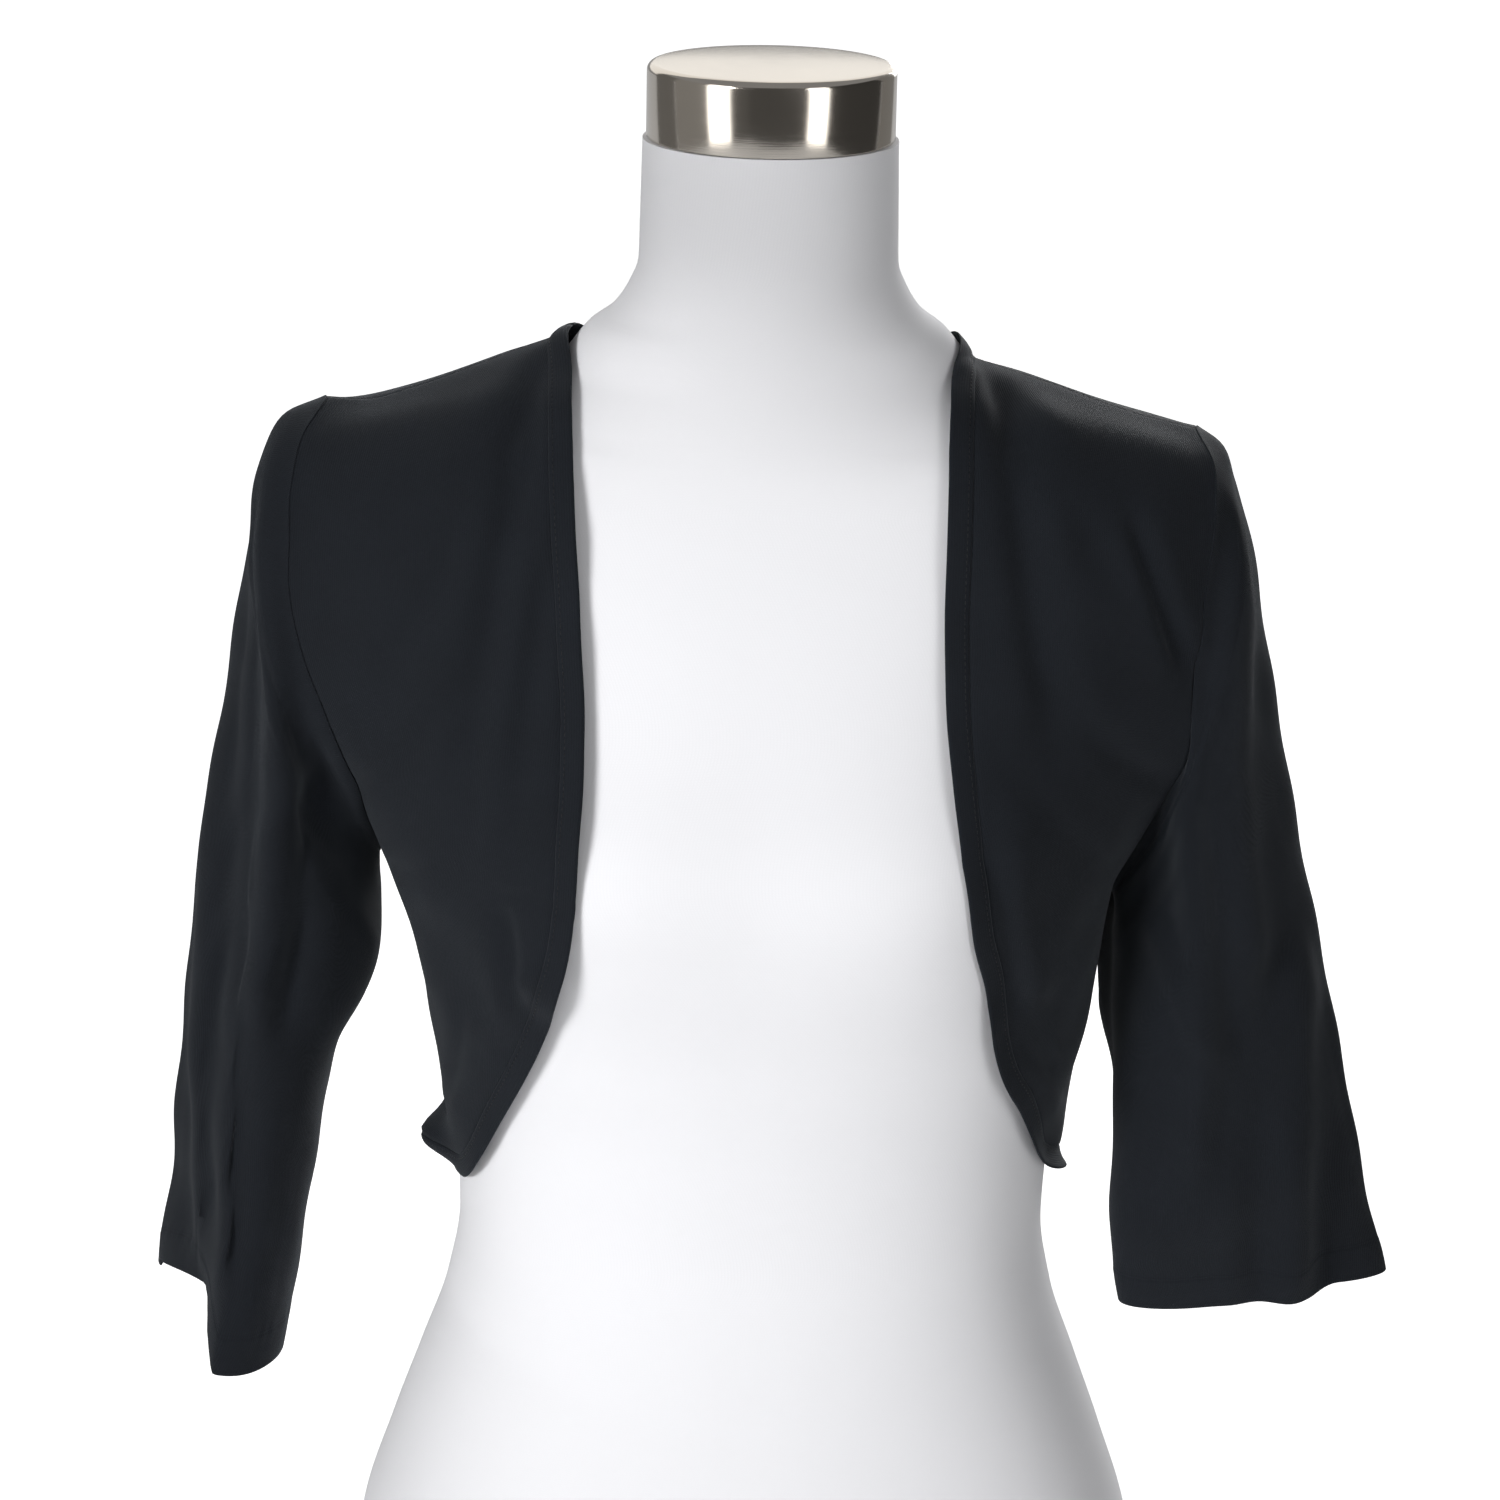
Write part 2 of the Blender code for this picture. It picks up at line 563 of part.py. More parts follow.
def panel(bottom, top, first, last):
    """Cloth between four seams: its points and normals, draped over the form and folded."""
    curves = [curve[:, :3] for curve in (bottom, top, first, last)]
    flat = patch(*curves)
    lifts = patch(*[curve - settle(curve)[0] for curve in curves])
    points, normals = settle(flat)
    return fold_body(points + lifts, normals), normals


def trim(grid):
    """A panel's edges drawn back from their seams by half the gap."""
    half_gap = SEAM_GAP / 2
    edges = grid.copy()
    edges[0] += half_gap * unit(grid[1] - grid[0])
    edges[-1] += half_gap * unit(grid[-2] - grid[-1])
    edges[:, 0] += half_gap * unit(grid[:, 1] - grid[:, 0])
    edges[:, -1] += half_gap * unit(grid[:, -2] - grid[:, -1])
    return edges


def back_panel(seams):
    """The back, with columns from the wearer's right to left and rows from the hem up."""
    top = np.concatenate([
        seams["shoulder_right"][::-1], seams["neck"][1:-1, :3], seams["shoulder_left"]])
    flanks = [
        np.concatenate([seams["side_" + side][::-1], seams["arm_back_" + side][::-1][1:]])
        for side in ("right", "left")]
    return panel(seams["hem"], top, *flanks)


def front_panel(seams, side):
    """A front, with columns from the opening to the side and rows from the hem up."""
    flank = np.concatenate([seams["side_" + side][::-1], seams["arm_front_" + side][::-1][1:]])
    return panel(seams["turn_" + side], seams["shoulder_" + side], seams["edge_" + side][::-1], flank)


# Bands

def band_sections(seam, inside, wall):
    """Cross-sections of the edge band along a seam.

    inside is a row of panel points beside the seam, which gives the side the band turns away from.
    """
    points, normals = settle(seam[:, :3])
    shift = seam[:, :3] - points
    points = fold_body(points + shift, normals)
    forwards = np.sign(np.sum(np.gradient(points, axis=0) * seam[:, 4:], axis=1, keepdims=True))
    along = unit(seam[:, 4:]) * forwards
    across = unit(np.cross(along, normals))
    towards_panel = np.sum((inside - points) * across, axis=1, keepdims=True)
    across = np.where(towards_panel > 0, -across, across)
    ends = along * SEAM_GAP / 2
    points[0] += ends[0]
    points[-1] -= ends[-1]
    roll = np.radians(seam[:, 3])[:, None]
    start = SEAM_GAP / 2 + wall / 2 * np.sin(np.minimum(roll, LARGEST_BAND_LEAN))
    station = points + across * start
    outer, inner = [], []
    for step in range(BAND_STEPS + 1):
        turn = roll * step / BAND_STEPS
        facing = normals * np.cos(turn) - across * np.sin(turn)
        distance, outward = form_distance(station)
        short = np.maximum(LEAST_CLEARANCE + (wall - WALL) / 2 - distance, 0.0)
        station = station + outward * short[:, None]
        edge = wall / 2 * (BAND_EDGE_SHARE if step in (0, BAND_STEPS) else 1.0)
        outer.append(station + facing * edge)
        inner.append(station - facing * edge)
        heading = across * np.cos(turn) + normals * np.sin(turn)
        station = station + heading * (BAND_WIDTH / BAND_STEPS)
    return np.stack(outer + inner[::-1], axis=1)


# Sleeves

def ring_points(ring, side, count):
    """Points round a sleeve ring, from its top over the front to the underarm and back."""
    angle = np.linspace(0.0, 2 * np.pi, count, endpoint=False)
    outer = np.array([ring.outer_x, 0.0, ring.outer_z])
    inner = np.array([ring.inner_x, 0.0, ring.inner_z])
    points = (outer + inner) / 2 + np.cos(angle)[:, None] * (outer - inner) / 2
    points[:, 0] += ring.bow * np.sin(angle) ** 2
    points[:, 1] += ring.middle - ring.half_depth * np.sin(angle) + ring.twist * np.cos(angle)
    turned = np.degrees(np.where(angle > np.pi, angle - 2 * np.pi, angle))
    tucked = ring.tuck * smooth_step((ring.tuck_at - turned) / TUCK_STEP + 0.5)
    tucked *= smooth_step((turned - TUCK_BACK[0]) / (TUCK_BACK[1] - TUCK_BACK[0]))
    points[:, 1] += tucked
    points[:, 2] += TUCK_RISE * tucked * np.maximum(np.sin(angle), 0.0)
    points[:, 0] *= SIDES[side]
    return points


def armhole_frame(panels, side):
    """Points round an armhole, with the direction out of the panels and their normal at each."""
    back_column, back_beside = (-1, -2) if side == "left" else (0, 1)
    front = panels["front_" + side][0][::-1]
    back = panels["back"][0][::-1]
    steps = (len(front) - 1) * ARMHOLE_STEPS // (SIDE_STEPS + ARMHOLE_STEPS)
    points = np.concatenate([front[:steps + 1, -1], back[1:steps, back_column][::-1]])
    beside = np.concatenate([front[:steps + 1, -2], back[1:steps, back_beside][::-1]])
    beside[steps] = front[steps + 1, -1]
    along = unit(np.roll(points, -1, axis=0) - np.roll(points, 1, axis=0))
    across = points - beside
    across = unit(across - along * np.sum(across * along, axis=1, keepdims=True))
    normals = np.cross(along, across) * SIDES[side]
    return points, across, normals


def sleeve_start(panels, side):
    """The sleeve's first ring, beside the panels' edges all round the armhole."""
    armhole, across, normals = armhole_frame(panels, side)
    first = ring_points(SLEEVE[side][0], side, len(armhole))
    heading = unit(first - armhole)
    turn = np.arccos(np.clip(np.sum(heading * across, axis=1), -1.0, 1.0))[:, None]
    sideways = SLEEVE_GAP + WALL / 2 * np.sin(turn)
    outwards = (WALL + SLEEVE_GAP) * (1 - np.cos(turn)) / 2
    return armhole + across * sideways + normals * outwards


def sleeve_surface(panels, side, steps):
    """A sleeve's middle surface, a row for each ring from armhole to hem, and its normals."""
    start = sleeve_start(panels, side)
    rings = np.stack([start] + [ring_points(ring, side, len(start)) for ring in SLEEVE[side]])
    lines = np.stack([even(spline(rings[:, k]), steps) for k in range(len(start))], axis=1)
    normals = sleeve_normals(lines, side)
    reach = smooth_step(np.arange(steps + 1) / steps / SLEEVE_FOLD_START)[:, None]
    height = fold_height(lines, normals, SLEEVE_FOLDS[side]) * reach
    lines = lines + normals * height[..., None]
    return lines, sleeve_normals(lines, side)


def sleeve_normals(lines, side):
    """Outward normals of a sleeve's rings."""
    down = np.gradient(lines, axis=0)
    round_ring = (np.roll(lines, -1, axis=1) - np.roll(lines, 1, axis=1)) / 2
    return unit(np.cross(down, round_ring)) * SIDES[side]


# Meshes

def make_object(name, vertices, faces, collection):
    """A mesh object with smooth faces in the collection."""
    mesh = bpy.data.meshes.new(name)
    mesh.from_pydata([tuple(map(float, vertex)) for vertex in vertices], [], faces)
    mesh.validate()
    mesh.shade_smooth()
    piece = bpy.data.objects.new(name, mesh)
    collection.objects.link(piece)
    return piece


def sheet_wall(name, outer, inner, collection, ring=False, flip=False):
    """Closed wall between two grids of points. With ring, the columns close on themselves."""
    rows, count = outer.shape[:2]
    vertices = np.concatenate([outer.reshape(-1, 3), inner.reshape(-1, 3)])
    base = rows * count
    faces = []
    last = count if ring else count - 1
    for i in range(rows - 1):
        for j in range(last):
            k = (j + 1) % count
            a, b, c, d = i * count + j, i * count + k, (i + 1) * count + k, (i + 1) * count + j
            faces.append((a, b, c, d))
            faces.append((base + d, base + c, base + b, base + a))
    for j in range(last):
        k = (j + 1) % count
        top = (rows - 1) * count
        faces.append((base + j, base + k, k, j))
        faces.append((top + j, top + k, base + top + k, base + top + j))
    if not ring:
        for i in range(rows - 1):
            a, b = i * count, (i + 1) * count
            c, d = a + count - 1, b + count - 1
            faces.append((a, b, base + b, base + a))
            faces.append((base + c, base + d, d, c))
    if flip:
        faces = [face[::-1] for face in faces]
    return make_object(name, vertices, faces, collection)


def band_tube(name, sections, collection):
    """Closed bar swept through cross-sections, capped at both ends."""
    rows, count = sections.shape[:2]
    faces = []
    for i in range(rows - 1):
        for j in range(count):
            k = (j + 1) % count
            faces.append((i * count + j, i * count + k, (i + 1) * count + k, (i + 1) * count + j))
    faces.append(tuple(range(count))[::-1])
    faces.append(tuple((rows - 1) * count + j for j in range(count)))
    if volume(sections.reshape(-1, 3), faces) < 0:
        faces = [face[::-1] for face in faces]
    return make_object(name, sections.reshape(-1, 3), faces, collection)


def volume(vertices, faces):
    """Signed volume inside a closed mesh, positive when its faces point out."""
    total = 0.0
    for face in faces:
        first = vertices[face[0]]
        for second, third in zip(face[1:-1], face[2:]):
            total += np.dot(first, np.cross(vertices[second], vertices[third]))
    return total / 6.0


def cloth_panel(name, surface, collection):
    """A panel's solid from its middle surface."""
    points, normals = surface
    points = trim(points)
    outer = points + normals * WALL / 2
    inner = points - normals * WALL / 2
    across = np.cross(points[0, 1] - points[0, 0], points[1, 0] - points[0, 0])
    return sheet_wall(name, outer, inner, collection, flip=np.dot(across, normals[0, 0]) < 0)


def sleeve_solid(name, panels, side, collection):
    """A sleeve's solid, a tube open at the armhole and the hem."""
    points, normals = sleeve_surface(panels, side, SLEEVE_STEPS)
    outer = points + normals * WALL / 2
    inner = points - normals * WALL / 2
    return sheet_wall(name, outer, inner, collection, ring=True, flip=side == "left")


def form_ring(z, count):
    """Points round the form at a height."""
    angle = np.linspace(0.0, 2 * np.pi, count, endpoint=False)
    z = np.full(count, z)
    half_width, front, back, square = (table_curve(FORM_TABLE[0], column, z) for column in FORM_TABLE[1:])
    wide, deep = np.cos(angle), np.sin(angle)
    depth = np.where(deep < 0, front, back)
    oval = (np.abs(wide) ** square + np.abs(deep) ** square) ** (1.0 / square)
    radius = 1.0 / oval
    for _ in range(RING_STEPS):
        points = np.column_stack([wide * half_width * radius, deep * depth * radius, z])
        radius = radius - form_field(points) / oval
    return points


def form_levels(step):
    """Heights of the form's rings: every row of its table, and more between where rows lie far apart."""
    heights = [FORM[0].z]
    for low, high in zip(FORM, FORM[1:]):
        slope_length = np.hypot(high.z - low.z, high.half_width - low.half_width)
        parts = int(np.ceil(slope_length / step))
        heights += [low.z + (high.z - low.z) * (part + 1) / parts for part in range(parts)]
    return heights


def form_torso(collection):
    """The form's body, closed by a flat base and a flat neck."""
    sections = np.stack([form_ring(z, FORM_POINTS) for z in form_levels(FORM_STEP)])
    return band_tube("form_torso", sections, collection)


def neck_cap(collection):
    """The turned metal cap on the form's neck."""
    arc = [np.radians(angle) for angle in (90, 60, 30, 0)]
    rim = [(CAP_RADIUS - CAP_RIM + CAP_RIM * np.cos(a), CAP_TOP - CAP_CROWN - CAP_RIM + CAP_RIM * np.sin(a))
           for a in arc]
    profile = [(0.0, CAP_TOP)] + rim + [(CAP_RADIUS, CAP_BASE), (0.0, CAP_BASE)]
    mesh = bpy.data.meshes.new("form_neck_cap")
    mesh.from_pydata([(radius, 0.0, z) for radius, z in profile],
                     [(i, i + 1) for i in range(len(profile) - 1)], [])
    cap = bpy.data.objects.new("form_neck_cap", mesh)
    collection.objects.link(cap)
    screw = cap.modifiers.new("Turn", "SCREW")
    screw.axis = "Z"
    screw.angle = 2 * np.pi
    screw.steps = CAP_SEGMENTS
    screw.render_steps = CAP_SEGMENTS
    screw.use_merge_vertices = True
    screw.merge_threshold = 0.00005
    screw.use_smooth_shade = True
    return cap


# Materials

Finish = namedtuple("Finish", "color roughness metallic")
BLACK_JERSEY = Finish((0.014, 0.014, 0.016), 0.85, 0.0)
WHITE_JERSEY = Finish((0.82, 0.82, 0.84), 0.75, 0.0)
BRUSHED_NICKEL = Finish((0.60, 0.57, 0.52), 0.28, 1.0)


def paint(piece, finish):
    """Gives a piece its own Principled material."""
    material = bpy.data.materials.new(piece.name)
    material.use_nodes = True
    shader = material.node_tree.nodes["Principled BSDF"]
    shader.inputs["Base Color"].default_value = (*finish.color, 1.0)
    shader.inputs["Roughness"].default_value = finish.roughness
    shader.inputs["Metallic"].default_value = finish.metallic
    piece.data.materials.append(material)


# The whole object

def build_bands(seams, panels, collection):
    """The four runs of the edge band."""
    back_points = panels["back"][0]
    neck_columns = slice(SHOULDER_STEPS, SHOULDER_STEPS + NECK_STEPS + 1)
    bands = {
        "band_neck": (seams["neck"], back_points[-2, neck_columns]),
        "band_hem": (seams["hem"], back_points[1]),
    }
    for side in SIDES:
        points = panels["front_" + side][0]
        edge = np.concatenate([seams["edge_" + side], seams["turn_" + side][1:]])
        beside = np.concatenate([points[::-1, 1], points[1, 1:]])
        bands["band_front_" + side] = (edge, beside)
    return [band_tube(name, band_sections(seam, beside, BAND_WALL), collection)
            for name, (seam, beside) in bands.items()]


def main():
    """Clears the scene and builds every piece."""
    for old in list(bpy.data.objects):
        bpy.data.objects.remove(old, do_unlink=True)
    collection = bpy.data.collections.new(NAME)
    bpy.context.scene.collection.children.link(collection)

    paint(form_torso(collection), WHITE_JERSEY)
    paint(neck_cap(collection), BRUSHED_NICKEL)

    seams = seam_curves()
    panels = {"back": back_panel(seams)}
    for side in SIDES:
        panels["front_" + side] = front_panel(seams, side)
    cloth = [cloth_panel("shrug_" + name, surface, collection) for name, surface in panels.items()]
    cloth += [sleeve_solid("sleeve_" + side, panels, side, collection) for side in SIDES]
    cloth += build_bands(seams, panels, collection)
    for piece in cloth:
        paint(piece, BLACK_JERSEY)


main()
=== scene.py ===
"""Looks of a knitted shrug worn by a limbless dress form.

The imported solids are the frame. Each is replaced by a finer piece made from the same tables:
thin jersey with its creases, seams and stitching, the form's cover and its metal neck cap.
Metres, +Z up. The front faces -Y and the wearer's left is +X.
"""

from collections import namedtuple
from functools import lru_cache

import bpy
import numpy as np
from bpy.props import FloatProperty, FloatVectorProperty, PointerProperty
from mathutils import Matrix, Vector


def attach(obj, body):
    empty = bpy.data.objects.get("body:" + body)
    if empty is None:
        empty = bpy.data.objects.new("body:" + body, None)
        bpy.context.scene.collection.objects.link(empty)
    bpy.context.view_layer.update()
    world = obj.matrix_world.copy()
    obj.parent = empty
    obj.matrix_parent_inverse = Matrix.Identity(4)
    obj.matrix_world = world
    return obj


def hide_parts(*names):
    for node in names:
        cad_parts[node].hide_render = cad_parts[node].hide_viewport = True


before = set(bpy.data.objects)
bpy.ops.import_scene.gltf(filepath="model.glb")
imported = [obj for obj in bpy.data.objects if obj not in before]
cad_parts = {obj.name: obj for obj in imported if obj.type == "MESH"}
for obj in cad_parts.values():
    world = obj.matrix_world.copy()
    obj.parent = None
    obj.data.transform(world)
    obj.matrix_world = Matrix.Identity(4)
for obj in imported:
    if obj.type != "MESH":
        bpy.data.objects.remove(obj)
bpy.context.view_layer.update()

bl_info = {
    "name": "Knitted Shrug on a Dress Form",
    "version": (1, 0, 0),
    "blender": (4, 5, 0),
    "location": "View3D > Sidebar > Shrug",
    "description": "Builds a knitted shrug, the dress form that wears it and a plain studio",
    "category": "Object",
}

MM = 0.001
SIDES = {"left": 1.0, "right": -1.0}
BODY = "root"

# Settings that a user would change

class GarmentSettings(bpy.types.PropertyGroup):
    """Sizes and colours of the shrug."""

    cloth_thickness: FloatProperty(
        name="Jersey thickness", description="Thickness of one layer of the jersey",
        default=1.0 * MM, min=0.4 * MM, max=1.5 * MM, precision=4, unit="LENGTH")
    band_thickness: FloatProperty(
        name="Band thickness", description="Thickness of the folded edge band",
        default=1.9 * MM, min=0.8 * MM, max=2.4 * MM, precision=4, unit="LENGTH")
    stitch_spacing: FloatProperty(
        name="Stitch spacing", description="Distance from one topstitch to the next",
        default=2.8 * MM, min=1.5 * MM, max=6.0 * MM, precision=4, unit="LENGTH")
    stitch_length: FloatProperty(
        name="Stitch length", description="Length of thread that shows in each topstitch",
        default=2.1 * MM, min=0.8 * MM, max=5.0 * MM, precision=4, unit="LENGTH")
    thread_width: FloatProperty(
        name="Thread width", description="Width of the topstitching thread",
        default=0.42 * MM, min=0.2 * MM, max=1.0 * MM, precision=5, unit="LENGTH")
    jersey_color: FloatVectorProperty(
        name="Jersey colour", description="Base colour of the knitted cloth",
        default=(0.0062, 0.0078, 0.0108), size=3, min=0.0, max=1.0, subtype="COLOR")
    thread_color: FloatVectorProperty(
        name="Thread colour", description="Colour of the topstitching",
        default=(0.0050, 0.0058, 0.0076), size=3, min=0.0, max=1.0, subtype="COLOR")


class FormSettings(bpy.types.PropertyGroup):
    """Finishes of the dress form."""

    cover_color: FloatVectorProperty(
        name="Cover colour", description="Base colour of the form's jersey cover",
        default=(0.80, 0.80, 0.825), size=3, min=0.0, max=1.0, subtype="COLOR")
    cap_color: FloatVectorProperty(
        name="Cap colour", description="Base colour of the neck cap's metal",
        default=(0.60, 0.56, 0.51), size=3, min=0.0, max=1.0, subtype="COLOR")
    cap_roughness: FloatProperty(
        name="Cap roughness", description="Roughness of the neck cap between its brush lines",
        default=0.12, min=0.02, max=1.0, subtype="FACTOR")


class StageSettings(bpy.types.PropertyGroup):
    """Colours and lights of the studio."""

    floor_color: FloatVectorProperty(
        name="Floor colour", description="Base colour of the studio floor",
        default=(0.90, 0.90, 0.90), size=3, min=0.0, max=1.0, subtype="COLOR")
    floor_glow: FloatProperty(
        name="Floor glow", description="Light that the translucent floor gives off",
        default=0.86, min=0.0, max=3.0)
    sky_strength: FloatProperty(
        name="Surround strength", description="Strength of the white surround",
        default=0.30, min=0.0, max=3.0)
    key_power: FloatProperty(
        name="Key light power", description="Power of the large soft light in front",
        default=4.0, min=0.0, max=1000.0, unit="POWER")


# Cloth and seams
WALL = 1.0 * MM
BAND_WALL = 1.9 * MM
BAND_WIDTH = 10.5 * MM
LEAST_CLEARANCE = 1.6 * MM
# Share of a sleeve's length over which its folds begin below the armhole
SLEEVE_FOLD_START = 0.045

# Mesh fineness, in steps along each seam
SIDE_STEPS = 60
ARMHOLE_STEPS = 80
SHOULDER_STEPS = 54
NECK_STEPS = 64
SLEEVE_STEPS = 150
BAND_STEPS = 10
FORM_POINTS = 192
FORM_STEP = 4 * MM

# Neck cap
CAP_RADIUS = 52.5 * MM
CAP_BASE = 723.5 * MM
CAP_TOP = 755.6 * MM
CAP_RIM = 3.4 * MM
CAP_CROWN = 0.8 * MM
CAP_SEGMENTS = 128

# The form's oval at each height: half width, depth to the front and back, squareness of its corners
Level = namedtuple("Level", "z half_width front back square")
FORM = (
    Level(0.0000, 0.1800, 0.1000, 0.1200, 2.3),
    Level(0.0300, 0.1840, 0.1040, 0.1270, 2.3),
    Level(0.0800, 0.1780, 0.1060, 0.1260, 2.3),
    Level(0.1240, 0.1645, 0.1030, 0.1160, 2.2),
    Level(0.1620, 0.1510, 0.0990, 0.1020, 2.2),
    Level(0.2000, 0.1380, 0.0920, 0.0900, 2.2),
    Level(0.2370, 0.1320, 0.0870, 0.0820, 2.2),
    Level(0.2850, 0.1345, 0.0920, 0.0840, 2.2),
    Level(0.3350, 0.1420, 0.1020, 0.0900, 2.3),
    Level(0.3850, 0.1480, 0.1110, 0.0980, 2.3),
    Level(0.4300, 0.1500, 0.1130, 0.1040, 2.4),
    Level(0.4800, 0.1500, 0.1050, 0.1070, 2.4),
    Level(0.5300, 0.1610, 0.0944, 0.1030, 2.4),
    Level(0.5700, 0.1800, 0.0819, 0.0890, 2.3),
    Level(0.5850, 0.1880, 0.0766, 0.0780, 2.2),
    Level(0.5930, 0.1835, 0.0735, 0.0700, 2.1),
    Level(0.5985, 0.1660, 0.0713, 0.0665, 2.1),
    Level(0.6055, 0.1415, 0.0684, 0.0650, 2.0),
    Level(0.6155, 0.1115, 0.0642, 0.0640, 2.0),
    Level(0.6258, 0.0905, 0.0599, 0.0630, 2.0),
    Level(0.6360, 0.0822, 0.0565, 0.0625, 2.0),
    Level(0.6430, 0.0764, 0.0550, 0.0630, 2.0),
    Level(0.6500, 0.0667, 0.0535, 0.0610, 2.0),
    Level(0.6600, 0.0597, 0.0525, 0.0590, 2.0),
    Level(0.6720, 0.0552, 0.0520, 0.0575, 2.0),
    Level(0.6920, 0.0547, 0.0525, 0.0560, 2.0),
    Level(0.7232, 0.0540, 0.0525, 0.0545, 2.0),
)
BUST_SWELL = 0.15
BUST_X = 68 * MM
BUST_Z = 425 * MM
BUST_WIDTH = 58 * MM
BUST_HEIGHT = 55 * MM
# How far the stretched cover bridges the hollow between, from 0 for none to 1 for flat
BUST_BRIDGE = 0.75

# How far the cloth stands off the form at each height, at its sides, front and back
Ease = namedtuple("Ease", "z side front back")
EASE = (
    Ease(0.245, 0.0035, 0.0035, 0.0050),
    Ease(0.300, 0.0040, 0.0055, 0.0080),
    Ease(0.350, 0.0045, 0.0060, 0.0080),
    Ease(0.400, 0.0060, 0.0035, 0.0050),
    Ease(0.450, 0.0100, 0.0028, 0.0030),
    Ease(0.500, 0.0160, 0.0030, 0.0027),
    Ease(0.550, 0.0110, 0.0032, 0.0030),
    Ease(0.600, 0.0040, 0.0040, 0.0040),
    Ease(0.620, 0.0034, 0.0034, 0.0030),
    Ease(0.640, 0.0030, 0.0030, 0.0026),
)

# Seam between each front and its edge band, from the neck down to the side seam.
# The roll turns the band outwards about that seam, in degrees.
EdgePoint = namedtuple("EdgePoint", "x z roll")
FRONT_EDGE = {
    "right": (
        EdgePoint(0.0906, 0.6150, 0),
        EdgePoint(0.0886, 0.5850, 0),
        EdgePoint(0.0853, 0.5400, 0),
        EdgePoint(0.0823, 0.4900, 0),
        EdgePoint(0.0832, 0.4450, 4),
        EdgePoint(0.0868, 0.4000, 8),
        EdgePoint(0.0985, 0.3550, 12),
        EdgePoint(0.1155, 0.3100, 20),
        EdgePoint(0.1300, 0.2725, 4),
    ),
    "left": (
        EdgePoint(0.0859, 0.6150, 0),
        EdgePoint(0.0860, 0.5850, 0),
        EdgePoint(0.0857, 0.5450, 0),
        EdgePoint(0.0873, 0.5000, 0),
        EdgePoint(0.0935, 0.4500, 4),
        EdgePoint(0.1003, 0.4100, 8),
        EdgePoint(0.1068, 0.3830, 14),
        EdgePoint(0.1085, 0.3600, 34),
        EdgePoint(0.1125, 0.3380, 34),
        EdgePoint(0.1212, 0.3180, 25),
        EdgePoint(0.1305, 0.2850, 45),
    ),
}
BACK_NECK_EDGE = (
    EdgePoint(0.0790, 0.6228, 0),
    EdgePoint(0.0500, 0.6182, 0),
    EdgePoint(0.0000, 0.6160, 0),
)
BACK_HEM_EDGE = (
    EdgePoint(0.1000, 0.2590, 25),
    EdgePoint(0.0000, 0.2570, 12),
)

# Corners and seams that hang free of the form
Point = namedtuple("Point", "x y z")
NECK_POINT = {
    "right": Point(0.0915, 0.005, 0.6350),
    "left": Point(0.0857, 0.005, 0.6306),
}
SIDE_HEM = {
    "right": Point(0.1400, 0.006, 0.2670),
    "left": Point(0.1380, 0.010, 0.2650),
}
SIDE_HEM_ROLL = {"right": -120, "left": 60}
NECK_ROLL = -50
SHOULDER_SEAM = {
    "right": (Point(0.1141, 0.006, 0.6250), Point(0.1529, 0.006, 0.6108), Point(0.1690, 0.006, 0.6062)),
    "left": (Point(0.1169, 0.005, 0.6202), Point(0.1504, 0.004, 0.6093)),
}
SIDE_SEAM = {
    "right": (Point(0.1535, 0.002, 0.3800), Point(0.1465, 0.004, 0.3440), Point(0.1400, 0.006, 0.3050)),
    "left": (Point(0.1525, 0.002, 0.3690), Point(0.1485, 0.004, 0.3380), Point(0.1430, 0.007, 0.3050)),
}

# Armhole seam: its top, then each height with its front and back depth, then the underarm
SHOULDER_POINT = {
    "right": Point(0.1890, 0.006, 0.6062),
    "left": Point(0.1857, 0.004, 0.6005),
}
UNDERARM = {
    "right": Point(0.1650, 0.000, 0.4070),
    "left": Point(0.1565, 0.000, 0.3940),
}
ArmLevel = namedtuple("ArmLevel", "x z front back")
ARMHOLE = {
    "right": (
        ArmLevel(0.1985, 0.5900, 0.030, 0.036),
        ArmLevel(0.2003, 0.5650, 0.050, 0.054),
        ArmLevel(0.1995, 0.5350, 0.058, 0.063),
        ArmLevel(0.1940, 0.5080, 0.059, 0.065),
        ArmLevel(0.1855, 0.4850, 0.056, 0.062),
        ArmLevel(0.1773, 0.4609, 0.048, 0.054),
        ArmLevel(0.1712, 0.4350, 0.034, 0.038),
    ),
    "left": (
        ArmLevel(0.1904, 0.5880, 0.034, 0.036),
        ArmLevel(0.1885, 0.5600, 0.052, 0.055),
        ArmLevel(0.1842, 0.5280, 0.058, 0.063),
        ArmLevel(0.1838, 0.4950, 0.057, 0.063),
        ArmLevel(0.1830, 0.4700, 0.051, 0.057),
        ArmLevel(0.1766, 0.4482, 0.041, 0.046),
        ArmLevel(0.1665, 0.4220, 0.026, 0.030),
    ),
}

